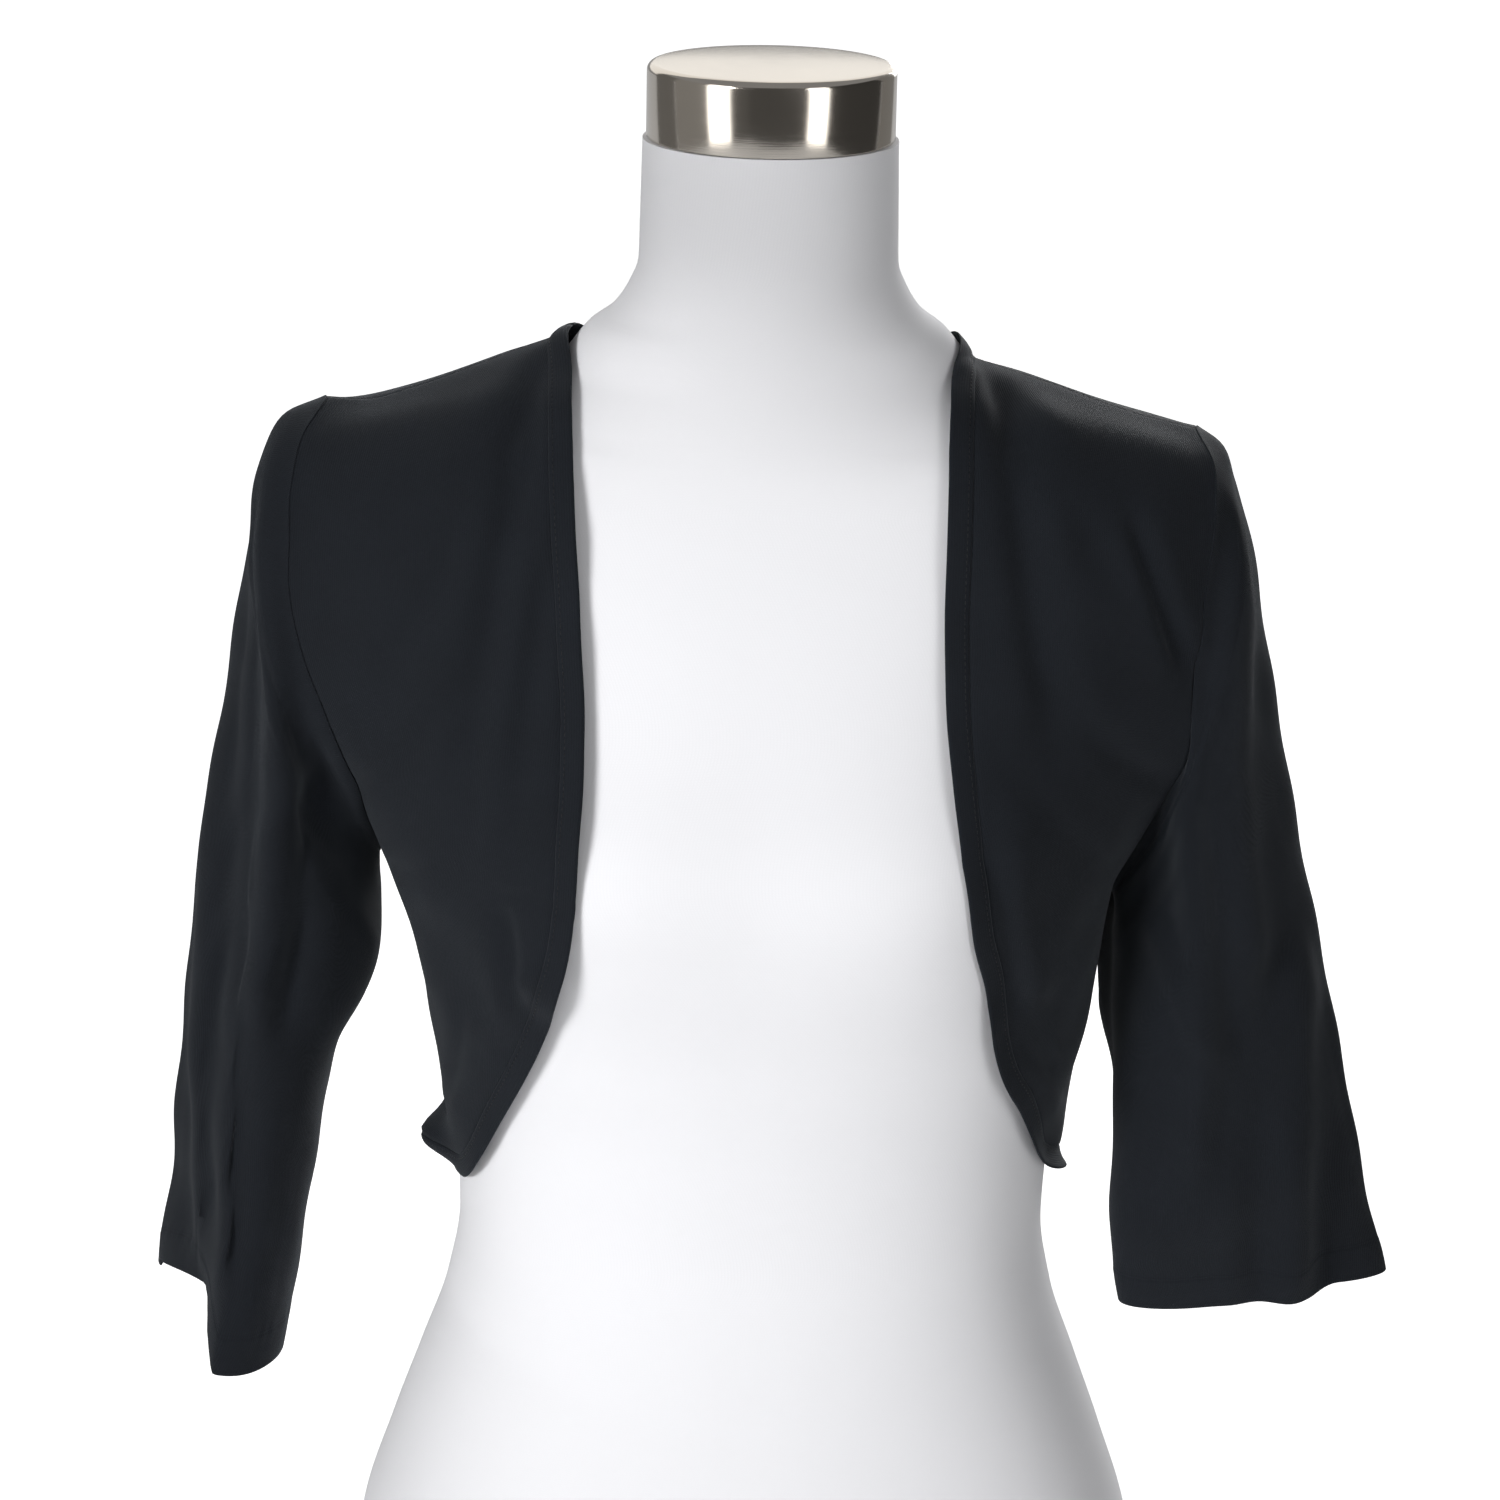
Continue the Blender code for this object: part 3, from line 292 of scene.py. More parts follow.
# Sleeve rings, from the armhole to the hem: where each is outermost and innermost,
# its middle and half depth front to back, how far its front and back bow outwards,
# its twist (outer edge back, inner edge forward), and how far its outer front is tucked back,
# from which angle round the ring
Ring = namedtuple("Ring", "outer_x outer_z inner_x inner_z middle half_depth bow twist tuck tuck_at")
SLEEVE = {
    "right": (
        Ring(0.2075, 0.5985, 0.1680, 0.4020, 0.002, 0.0600, 0.0180, 0.000, 0.000, 40),
        Ring(0.2150, 0.5860, 0.1685, 0.3940, 0.001, 0.0600, 0.0150, 0.000, 0.000, 40),
        Ring(0.2205, 0.5560, 0.1678, 0.3800, 0.000, 0.0590, 0.0100, 0.000, 0.002, 40),
        Ring(0.2288, 0.5110, 0.1672, 0.3660, -0.001, 0.0570, 0.0050, 0.002, 0.005, 42),
        Ring(0.2368, 0.4649, 0.1690, 0.3540, -0.002, 0.0550, 0.0020, 0.004, 0.010, 46),
        Ring(0.2468, 0.4145, 0.1735, 0.3400, -0.003, 0.0530, 0.0000, 0.006, 0.015, 58),
        Ring(0.2533, 0.3667, 0.1850, 0.3200, -0.004, 0.0520, 0.0000, 0.009, 0.019, 68),
        Ring(0.2588, 0.3181, 0.1912, 0.2952, -0.004, 0.0510, 0.0000, 0.011, 0.023, 72),
        Ring(0.2642, 0.2687, 0.1978, 0.2570, -0.003, 0.0510, 0.0000, 0.014, 0.028, 78),
        Ring(0.2686, 0.2269, 0.2035, 0.2200, -0.002, 0.0520, 0.0000, 0.017, 0.034, 85),
        Ring(0.2778, 0.1760, 0.2125, 0.1715, -0.002, 0.0530, 0.0000, 0.020, 0.042, 94),
    ),
    "left": (
        Ring(0.1960, 0.5940, 0.1592, 0.3890, 0.002, 0.0600, 0.0130, 0.000, 0.000, 60),
        Ring(0.2018, 0.5800, 0.1600, 0.3810, 0.001, 0.0590, 0.0110, 0.000, 0.000, 60),
        Ring(0.2115, 0.5451, 0.1592, 0.3670, 0.000, 0.0570, 0.0070, 0.000, 0.000, 60),
        Ring(0.2215, 0.4990, 0.1602, 0.3480, -0.001, 0.0540, 0.0030, 0.001, 0.000, 60),
        Ring(0.2368, 0.4308, 0.1624, 0.3180, -0.002, 0.0500, 0.0000, 0.003, 0.000, 60),
        Ring(0.2480, 0.3838, 0.1630, 0.2880, -0.003, 0.0450, 0.0000, 0.005, 0.001, 60),
        Ring(0.2590, 0.3362, 0.1630, 0.2600, -0.003, 0.0400, 0.0000, 0.007, 0.002, 60),
        Ring(0.2702, 0.2878, 0.1630, 0.2350, -0.003, 0.0350, 0.0000, 0.009, 0.003, 60),
        Ring(0.2829, 0.2365, 0.1657, 0.2125, 0.000, 0.0260, 0.0000, 0.010, 0.004, 60),
        Ring(0.2931, 0.2010, 0.1700, 0.1945, 0.003, 0.0190, 0.0000, 0.010, 0.004, 60),
    ),
}
TUCK_STEP = 16
TUCK_BACK = (-70, 30)
TUCK_RISE = 0.55

# The largest folds, each along a line seen from the front or the back.
# A trough sinks between two soft ridges, a ridge stands up, and a step drops on its outer side.
Fold = namedtuple("Fold", "face kind x0 z0 x1 z1 bow width depth_start depth_end")
BODY_FOLDS = (
    Fold("front", "trough", -0.097, 0.632, -0.120, 0.480, 0.000, 0.0090, 0.0050, 0.0030),
    Fold("front", "trough", -0.091, 0.545, -0.101, 0.458, 0.000, 0.0070, 0.0025, 0.0020),
    Fold("front", "trough", -0.104, 0.402, -0.100, 0.376, 0.000, 0.0060, 0.0030, 0.0030),
    Fold("front", "ridge", -0.098, 0.381, -0.112, 0.353, 0.000, 0.0060, 0.0030, 0.0020),
    Fold("front", "trough", 0.100, 0.630, 0.120, 0.511, -0.001, 0.0100, 0.0060, 0.0040),
    Fold("front", "trough", 0.157, 0.567, 0.174, 0.524, 0.000, 0.0055, 0.0038, 0.0040),
    Fold("front", "trough", 0.097, 0.437, 0.109, 0.378, 0.000, 0.0070, 0.0040, 0.0060),
    Fold("back", "trough", -0.085, 0.600, -0.064, 0.420, 0.004, 0.0120, 0.0040, 0.0030),
    Fold("back", "trough", 0.092, 0.590, 0.074, 0.430, -0.003, 0.0110, 0.0050, 0.0030),
    Fold("back", "trough", -0.118, 0.480, -0.100, 0.310, 0.003, 0.0110, 0.0040, 0.0050),
    Fold("back", "trough", 0.126, 0.470, 0.098, 0.300, -0.004, 0.0120, 0.0050, 0.0040),
    Fold("back", "trough", -0.020, 0.400, -0.030, 0.290, 0.000, 0.0100, 0.0030, 0.0040),
    Fold("back", "trough", 0.038, 0.420, 0.030, 0.285, 0.000, 0.0110, 0.0030, 0.0050),
)
SLEEVE_FOLDS = {
    "right": (
        Fold("front", "step", -0.213, 0.575, -0.242, 0.165, -0.003, 0.0052, 0.0042, 0.0068),
        Fold("front", "trough", -0.205, 0.570, -0.207, 0.350, -0.003, 0.0078, 0.0088, 0.0085),
        Fold("front", "ridge", -0.195, 0.533, -0.186, 0.402, 0.000, 0.0052, 0.0055, 0.0085),
        Fold("front", "ridge", -0.186, 0.402, -0.170, 0.368, 0.000, 0.0055, 0.0080, 0.0060),
        Fold("back", "trough", -0.205, 0.560, -0.214, 0.360, 0.004, 0.0110, 0.0060, 0.0070),
        Fold("back", "trough", -0.236, 0.500, -0.244, 0.230, -0.004, 0.0110, 0.0050, 0.0080),
        Fold("back", "ridge", -0.190, 0.440, -0.205, 0.350, 0.000, 0.0080, 0.0040, 0.0040),
    ),
    "left": (
        Fold("front", "ridge", 0.195, 0.572, 0.176, 0.347, 0.017, 0.0065, 0.0045, 0.0080),
        Fold("front", "trough", 0.196, 0.500, 0.194, 0.455, 0.000, 0.0050, 0.0040, 0.0050),
        Fold("front", "step", 0.172, 0.453, 0.196, 0.451, 0.000, 0.0060, 0.0070, 0.0075),
        Fold("front", "trough", 0.181, 0.438, 0.167, 0.335, 0.000, 0.0150, 0.0300, 0.0170),
        Fold("front", "trough", 0.201, 0.368, 0.190, 0.240, 0.000, 0.0080, 0.0050, 0.0040),
        Fold("back", "trough", 0.200, 0.550, 0.216, 0.380, -0.004, 0.0110, 0.0060, 0.0060),
        Fold("back", "trough", 0.185, 0.440, 0.196, 0.290, 0.004, 0.0100, 0.0060, 0.0050),
        Fold("back", "trough", 0.240, 0.360, 0.246, 0.215, 0.000, 0.0110, 0.0040, 0.0060),
    ),
}

# How a trough sinks between its ridges, how a fold ends, and where it fades to the other face
TROUGH_SPREAD = 2.4
TROUGH_SINK = 1.7
FOLD_END_FADE = 2.2
FACING_START = 0.05
FACING_RANGE = 0.4

# Steps of the solvers and of the curves
SETTLE_STEPS = 8
FACE_STEPS = 40
RING_STEPS = 12
SPAN_STEPS = 40
GRADIENT_STEP = 0.1 * MM
WIDEST_DEPTH = 0.2

# Finer creases of the body, over the folds above
BODY_CREASES = (
    Fold("front", "trough", -0.1025, 0.4222, -0.0876, 0.4262, 0.001, 0.0030, 0.0010, 0.0006),
    Fold("front", "trough", -0.112, 0.610, -0.150, 0.520, 0.004, 0.0090, 0.0010, 0.0016),
    Fold("front", "trough", -0.130, 0.500, -0.166, 0.452, 0.003, 0.0070, 0.0010, 0.0018),
    Fold("front", "trough", -0.112, 0.462, -0.150, 0.412, 0.003, 0.0075, 0.0008, 0.0016),
    Fold("front", "ridge", -0.110, 0.352, -0.128, 0.300, 0.002, 0.0050, 0.0010, 0.0016),
    Fold("front", "trough", -0.126, 0.345, -0.138, 0.292, 0.001, 0.0040, 0.0010, 0.0018),
    Fold("front", "trough", 0.112, 0.612, 0.152, 0.548, -0.003, 0.0085, 0.0010, 0.0014),
    Fold("front", "trough", 0.126, 0.508, 0.168, 0.462, -0.003, 0.0070, 0.0009, 0.0018),
    Fold("front", "trough", 0.112, 0.470, 0.152, 0.420, -0.002, 0.0070, 0.0008, 0.0014),
    Fold("front", "ridge", 0.096, 0.392, 0.104, 0.366, 0.001, 0.0035, 0.0010, 0.0014),
    Fold("front", "trough", 0.104, 0.372, 0.128, 0.330, -0.003, 0.0050, 0.0014, 0.0012),
    Fold("front", "trough", 0.122, 0.350, 0.140, 0.305, -0.001, 0.0045, 0.0008, 0.0014),
    Fold("back", "trough", -0.120, 0.560, -0.165, 0.470, 0.004, 0.0090, 0.0010, 0.0020),
    Fold("back", "trough", 0.122, 0.556, 0.166, 0.466, -0.004, 0.0090, 0.0012, 0.0020),
    Fold("back", "trough", -0.030, 0.590, -0.040, 0.470, 0.002, 0.0120, 0.0008, 0.0012),
    Fold("back", "trough", 0.034, 0.588, 0.026, 0.480, -0.002, 0.0120, 0.0008, 0.0010),
    Fold("back", "trough", -0.140, 0.400, -0.070, 0.352, 0.004, 0.0070, 0.0016, 0.0008),
    Fold("back", "trough", 0.142, 0.392, 0.064, 0.346, -0.004, 0.0070, 0.0016, 0.0008),
    Fold("back", "trough", -0.128, 0.350, -0.052, 0.318, 0.003, 0.0060, 0.0014, 0.0006),
    Fold("back", "trough", 0.130, 0.344, 0.050, 0.312, -0.003, 0.0060, 0.0014, 0.0006),
    Fold("back", "ridge", -0.072, 0.330, -0.080, 0.268, 0.002, 0.0060, 0.0006, 0.0014),
    Fold("back", "ridge", 0.062, 0.332, 0.068, 0.270, -0.002, 0.0060, 0.0006, 0.0014),
)
SLEEVE_CREASES = {
    "right": (
        Fold("front", "trough", -0.1868, 0.490, -0.1705, 0.415, 0.000, 0.0046, 0.0080, 0.0130),
        Fold("front", "trough", -0.180, 0.388, -0.205, 0.352, 0.003, 0.0060, 0.0012, 0.0016),
        Fold("front", "trough", -0.196, 0.330, -0.204, 0.226, 0.001, 0.0080, 0.0006, 0.0014),
        Fold("front", "ridge", -0.222, 0.360, -0.229, 0.220, 0.002, 0.0080, 0.0008, 0.0014),
        Fold("back", "trough", -0.184, 0.500, -0.208, 0.430, 0.003, 0.0070, 0.0018, 0.0012),
        Fold("back", "trough", -0.196, 0.400, -0.226, 0.352, 0.004, 0.0065, 0.0018, 0.0010),
        Fold("back", "trough", -0.214, 0.300, -0.224, 0.210, 0.002, 0.0085, 0.0008, 0.0018),
    ),
    "left": (
        Fold("front", "trough", 0.214, 0.540, 0.222, 0.450, -0.002, 0.0080, 0.0006, 0.0010),
        Fold("front", "trough", 0.178, 0.330, 0.170, 0.225, -0.002, 0.0060, 0.0010, 0.0014),
        Fold("front", "trough", 0.226, 0.350, 0.236, 0.220, 0.002, 0.0110, 0.0006, 0.0012),
        Fold("front", "ridge", 0.213, 0.330, 0.208, 0.215, -0.002, 0.0080, 0.0006, 0.0010),
        Fold("back", "trough", 0.180, 0.500, 0.204, 0.430, -0.003, 0.0070, 0.0018, 0.0012),
        Fold("back", "trough", 0.176, 0.380, 0.206, 0.330, -0.004, 0.0065, 0.0018, 0.0010),
        Fold("back", "trough", 0.214, 0.300, 0.220, 0.215, -0.002, 0.0085, 0.0008, 0.0016),
    ),
}
# Where the cover's turned edge stands up below the cap
COVER_CREASES = (
    Fold("front", "ridge", -0.048, 0.7180, -0.006, 0.7196, 0.0000, 0.0011, 0.0004, 0.0007),
    Fold("front", "ridge", -0.006, 0.7196, 0.030, 0.7168, 0.0000, 0.0012, 0.0007, 0.0003),
    Fold("back", "ridge", -0.030, 0.7176, 0.034, 0.7188, 0.0000, 0.0012, 0.0005, 0.0004),
)

# How strongly the cloth spans hollows and edges of the form, from the bust up to the shoulder
SPAN_LOW = 0.490
SPAN_HIGH = 0.560
SPAN_LEAST = 0.10
SPAN_ROUNDS = 44

# Bulges at the side hems, where the cloth stands out in a small cup below a hollow
Bulge = namedtuple("Bulge", "x y z height wide tall")
BULGES = (
    Bulge(-1, 0.004, 0.2685, 0.0092, 0.016, 0.0078),
    Bulge(-1, -0.004, 0.2850, -0.0050, 0.012, 0.0046),
)

# Slow unevenness of the cloth: wavelengths and height
WAVE_LENGTHS = (0.034, 0.046, 0.058, 0.071, 0.090, 0.118)
WAVE_HEIGHT = 0.28 * MM
WAVE_SEED = 11

# Seams, hems and stitch lines
SEAM_OVERLAP = 0.6 * MM
SEAM_DIP = 0.45 * MM
SEAM_DIP_WIDTH = 1.3 * MM
HEM_WIDTH = 20 * MM
HEM_RISE = 0.28 * MM
HEM_GROOVE = 0.25 * MM
HEM_STITCH_AT = 18.6 * MM
STITCH_GROOVE_WIDTH = 0.9 * MM
PUCKER_LENGTH = 8.5 * MM
PUCKER_HEIGHT = 0.14 * MM
EDGE_ROUND = 0.9 * MM
BAND_STITCH_STATION = 2
BAND_GROOVE = 0.22 * MM
BAND_SQUARENESS = 3.0
THINNEST_EDGE = 0.25
EDGE_CUTS = (0.12, 0.32, 0.6)
# Rows of a sleeve by their distance from the armhole and from the hem
ARMHOLE_ROWS = tuple(row * MM for row in (0.0, 0.4, 0.9, 1.5, 2.2, 3.0, 4.0))
HEM_ROWS = tuple(row * MM for row in (
    0.0, 0.15, 0.4, 0.9, 1.6, 2.6, 4, 6, 8, 10, 12, 14, 15.5, 16.5, 17.2, 17.8, 18.2, 18.6, 19.0, 19.4,
    19.8, 20.3, 21.0, 22.0, 23.5))

# First seed of the sleeve hems' stitch rows
HEM_SEED = 20

# Width and height of the cover's knit loops
COVER_WALE = 1.4 * MM
COVER_COURSE = 1.1 * MM

# Relief of the finishes, and where edges turn crisp
KNIT_RELIEF = 0.12 * MM
FUZZ_RELIEF = 0.12 * MM
COVER_RELIEF = 0.015 * MM
BRUSH_RELIEF = 0.012 * MM
LINT_COLOR = (0.45, 0.46, 0.48)
COVER_SHARP_ANGLE = 0.9
CAP_SHARP_ANGLE = 0.7

# The neck cap's rolled lip, and the mesh steps round its rim and across its crown
CAP_LIP = 0.6 * MM
CAP_RIM_STEPS = 10
CAP_CROWN_STEPS = 8

# Studio
CAMERA_PLACE = (-0.004, -1.8, 1.034)
CAMERA_PITCH = 17.9
CAMERA_ROLL = 1.06
CAMERA_LENS = 103.2
CAMERA_SENSOR = 36.0
# Signs of a flat card's corners, in order round it
CARD_CORNERS = ((-1, -1), (1, -1), (1, 1), (-1, 1))
FLOOR_SIZE = 40.0
# Share of the floor's glow that falls on the object, and the brightness the camera sees round it
FLOOR_BOUNCE = 0.28
SURROUND_SEEN = 1.0
# Each light's place, target, size, spread in degrees and share of the key light's power
Light = namedtuple("Light", "name place target size spread power")
LIGHTS = (
    Light("Key Light", (-1.9, -2.1, 1.15), (0.0, 0.0, 0.36), 1.0, 36.0, 1.0),
    Light("Fill Light", (1.6, -2.6, 1.0), (0.0, 0.0, 0.36), 1.2, 40.0, 0.32),
    Light("Back Light", (0.9, 2.7, 1.0), (0.0, 0.0, 0.36), 1.4, 40.0, 1.2),
)
# Upright strips that the metal cap mirrors: first and last azimuth from the front, towards the
# wearer's left, how bright each is, and its lowest and highest edge
Strip = namedtuple("Strip", "name first last glow low high")
STRIPS = (
    Strip("strip_front_right", -36.0, -20.0, 0.10, 0.0, 1.5),
    Strip("strip_front", -20.0, 33.0, 0.08, 0.0, 1.5),
    Strip("strip_bright_left", 34.0, 53.0, 3.2, 0.0, 1.5),
    Strip("strip_left", 54.0, 118.0, 0.05, 0.0, 1.5),
    Strip("strip_back_left", 119.0, 150.0, 0.22, 0.0, 1.5),
    Strip("strip_bright_right", -60.0, -38.0, 3.2, 0.0, 1.5),
    Strip("strip_right", -98.0, -61.0, 0.27, 0.0, 1.5),
    Strip("strip_back_right", -130.0, -99.0, 0.16, 0.0, 1.5),
    Strip("strip_behind", 151.0, 229.0, 1.15, 0.9, 2.4),
)
STRIP_DISTANCE = 1.5
# A small black flag that keeps the key light off the neck
FLAG_PLACE = (-0.30, -0.375, 0.80)
FLAG_SIZE = (0.14, 0.075)
# Black cards beside the form that deepen the shading of its sides: distance, half depth, height
SIDE_CARD_PLACE = 0.62
SIDE_CARD_REACH = 0.55
SIDE_CARD_HEIGHT = 0.7

# Curves and tables

def unit(vectors):
    """Vectors along the last axis, at length one."""
    return vectors / np.maximum(np.linalg.norm(vectors, axis=-1, keepdims=True), 1e-12)


def smooth_step(value):
    """Zero to one with level ends."""
    t = np.clip(value, 0.0, 1.0)
    return t * t * (3.0 - 2.0 * t)


def table_curve(keys, values, at):
    """Smooth curve through a table's rows that adds no bulge between them."""
    widths = np.diff(keys)
    slopes = np.diff(values) / widths
    tangents = np.zeros(len(keys))
    product = slopes[:-1] * slopes[1:]
    total = np.where(product > 0, slopes[:-1] + slopes[1:], 1.0)
    tangents[1:-1] = np.where(product > 0, 2.0 * product / total, 0.0)
    tangents[0] = slopes[0]
    tangents[-1] = slopes[-1]
    row = np.clip(np.searchsorted(keys, at) - 1, 0, len(widths) - 1)
    t = np.clip((at - keys[row]) / widths[row], 0.0, 1.0)
    rise = values[row + 1] - values[row]
    bend_start = tangents[row] * widths[row] - rise
    bend_end = rise - tangents[row + 1] * widths[row]
    return values[row] + t * rise + t * (1 - t) * ((1 - t) * bend_start + t * bend_end)


def columns(table):
    """A table's columns as arrays."""
    return [np.array(column, dtype=float) for column in zip(*table)]


def spline(points, closed=False):
    """Dense smooth curve through points, with SPAN_STEPS steps between each two."""
    points = np.asarray(points, dtype=float)
    count = len(points)
    if closed:
        padded = np.concatenate([points[-1:], points, points[:2]])
        spans = count
    else:
        padded = np.concatenate([2 * points[:1] - points[1:2], points, 2 * points[-1:] - points[-2:-1]])
        spans = count - 1
    gaps = np.linalg.norm(np.diff(padded[:, :3], axis=0), axis=1)[:, None]
    slopes = np.diff(padded, axis=0) / gaps
    tangents = (slopes[:-1] * gaps[1:] + slopes[1:] * gaps[:-1]) / (gaps[:-1] + gaps[1:])
    t = np.linspace(0.0, 1.0, SPAN_STEPS, endpoint=False)[:, None]
    pieces = []
    for span in range(spans):
        start, end = padded[span + 1], padded[span + 2]
        first = tangents[span] * gaps[span + 1]
        last = tangents[span + 1] * gaps[span + 1]
        pieces.append(
            (2 * t**3 - 3 * t**2 + 1) * start + (t**3 - 2 * t**2 + t) * first
            + (3 * t**2 - 2 * t**3) * end + (t**3 - t**2) * last)
    pieces.append(padded[spans + 1][None])
    return np.concatenate(pieces)


def even(curve, steps):
    """A curve's points at equal distances, in steps steps."""
    run = np.concatenate([[0.0], np.cumsum(np.linalg.norm(np.diff(curve[:, :3], axis=0), axis=1))])
    places = np.linspace(0.0, run[-1], steps + 1)
    return np.stack([np.interp(places, run, column) for column in curve.T], axis=1)


# The form's surface and the cloth's height over it

FORM_TABLE = columns(FORM)
EASE_TABLE = columns(EASE)


def form_field(points):
    """Zero on the form and negative inside it."""
    x, y, z = points[..., 0], points[..., 1], points[..., 2]
    half_width, front, back, square = (table_curve(FORM_TABLE[0], column, z) for column in FORM_TABLE[1:])
    depth = np.where(y < 0, front, back)
    wide = np.abs(x) / half_width
    deep = np.abs(y) / depth
    radius = (wide**square + deep**square) ** (1.0 / square)
    side = np.exp(-((np.abs(x) - BUST_X) / BUST_WIDTH) ** 2)
    bridge = BUST_BRIDGE + (1.0 - BUST_BRIDGE) * smooth_step(np.abs(x) / BUST_X)
    across = np.where(np.abs(x) < BUST_X, bridge, side)
    swell = BUST_SWELL * across * np.exp(-((z - BUST_Z) / BUST_HEIGHT) ** 2)
    return radius - 1.0 - swell * smooth_step(-y / depth)


def form_distance(points):
    """Distance from the form and the outward normal."""
    slope = np.stack([
        form_field(points + GRADIENT_STEP * axis) - form_field(points - GRADIENT_STEP * axis)
        for axis in np.eye(3)], axis=-1) / (2.0 * GRADIENT_STEP)
    size = np.linalg.norm(slope, axis=-1)
    return form_field(points) / size, slope / size[..., None]


def cloth_ease(points):
    """The cloth's height over the form."""
    x, y, z = points[..., 0], points[..., 1], points[..., 2]
    half_width, front_depth, back_depth = (table_curve(FORM_TABLE[0], FORM_TABLE[i], z) for i in (1, 2, 3))
    side, front, back = (table_curve(EASE_TABLE[0], column, z) for column in EASE_TABLE[1:])
    wide = (x / half_width) ** 2
    deep = (y / np.where(y < 0, front_depth, back_depth)) ** 2
    share = wide / (wide + deep + 1e-9)
    return side * share + np.where(y < 0, front, back) * (1.0 - share)


def settle(points):
    """Points moved onto the cloth's surface, with its normals there."""
    for _ in range(SETTLE_STEPS):
        distance, normal = form_distance(points)
        points = points + normal * (cloth_ease(points) - distance)[..., None]
    return points, form_distance(points)[1]


def face_points(x, z, sign):
    """Points of the cloth's front (sign -1) or back (sign 1) at x and z."""
    near = np.zeros_like(x)
    far = np.full_like(x, WIDEST_DEPTH)
    for _ in range(FACE_STEPS):
        middle = (near + far) / 2
        points = np.stack([x, sign * middle, z], axis=-1)
        inside = form_distance(points)[0] < cloth_ease(points)
        near = np.where(inside, middle, near)
        far = np.where(inside, far, middle)
    return np.stack([x, sign * near, z], axis=-1)


# Folds

def fold_profile(kind, across):
    """A fold's height across its line, where across is one at its width."""
    if kind == "trough":
        return np.exp(-(across / TROUGH_SPREAD) ** 2) - TROUGH_SINK * np.exp(-across**2)
    if kind == "ridge":
        return np.exp(-across**2)
    return -across * np.exp(0.5 - 0.5 * across**2)


def fold_height(points, normals, folds):
    """Height that the folds add at each point, along its normal."""
    height = np.zeros(points.shape[:-1])
    for fold in folds:
        start = np.array([fold.x0, fold.z0])
        line = np.array([fold.x1, fold.z1]) - start
        length = np.linalg.norm(line)
        along_axis = line / length
        outward = np.array([-along_axis[1], along_axis[0]])
        if outward[0] * (fold.x0 + fold.x1) < 0:
            outward = -outward
        if abs(along_axis[0]) > abs(along_axis[1]):
            outward = np.array([0.0, -1.0])
        offset = points[..., [0, 2]] - start
        along = offset @ along_axis / length
        inside = np.clip(along, 0.0, 1.0)
        across = offset @ outward - fold.bow * np.sign(fold.x0) * 4.0 * inside * (1.0 - inside)
        beyond = np.maximum(np.maximum(-along, along - 1.0), 0.0) * length
        fade = np.exp(-(beyond / (FOLD_END_FADE * fold.width)) ** 2)
        depth = fold.depth_start + (fold.depth_end - fold.depth_start) * inside
        facing = -normals[..., 1] if fold.face == "front" else normals[..., 1]
        seen = smooth_step((facing - FACING_START) / FACING_RANGE)
        height += depth * seen * fade * fold_profile(fold.kind, across / fold.width)
    return height


def slow_waves(points):
    """Small slow unevenness of the cloth, the same on every run."""
    dice = np.random.default_rng(WAVE_SEED)
    height = np.zeros(points.shape[:-1])
    for length in WAVE_LENGTHS:
        heading = unit(dice.normal(size=3))
        start = dice.uniform(0.0, 2 * np.pi)
        height += WAVE_HEIGHT * np.sin(points @ heading * (2 * np.pi / length) + start)
    return height


def bulge_height(points):
    """Height of the small bulges at the side hems."""
    x, y, z = points[..., 0], points[..., 1], points[..., 2]
    height = np.zeros(points.shape[:-1])
    for bulge in BULGES:
        near = np.exp(-((y - bulge.y) / bulge.wide) ** 2 - ((z - bulge.z) / bulge.tall) ** 2)
        height += np.where(x * bulge.x > 0, bulge.height * near, 0.0)
    return height


def fold_body(points, normals):
    """Body cloth with its folds, kept clear of the form."""
    height = fold_height(points, normals, BODY_FOLDS + BODY_CREASES)
    height = height + slow_waves(points) + bulge_height(points)
    moved = points + normals * height[..., None]
    distance, outward = form_distance(moved)
    short = np.maximum(LEAST_CLEARANCE - distance, 0.0)
    return moved + outward * short[..., None]


# Seam curves

def mirrored(point, side):
    """A table's point on its own side of the body."""
    return [SIDES[side] * point.x, point.y, point.z]


def edge_rows(rows, side_sign, face):
    """Edge points on the cloth's front or back, with the band's roll as a fourth column."""
    x, z, roll = columns(rows)
    points = face_points(side_sign * x, z, face)
    return np.column_stack([points, roll])


def corner(point, side, roll):
    """A seam corner as a row with its roll."""
    return np.array([mirrored(point, side) + [roll]])


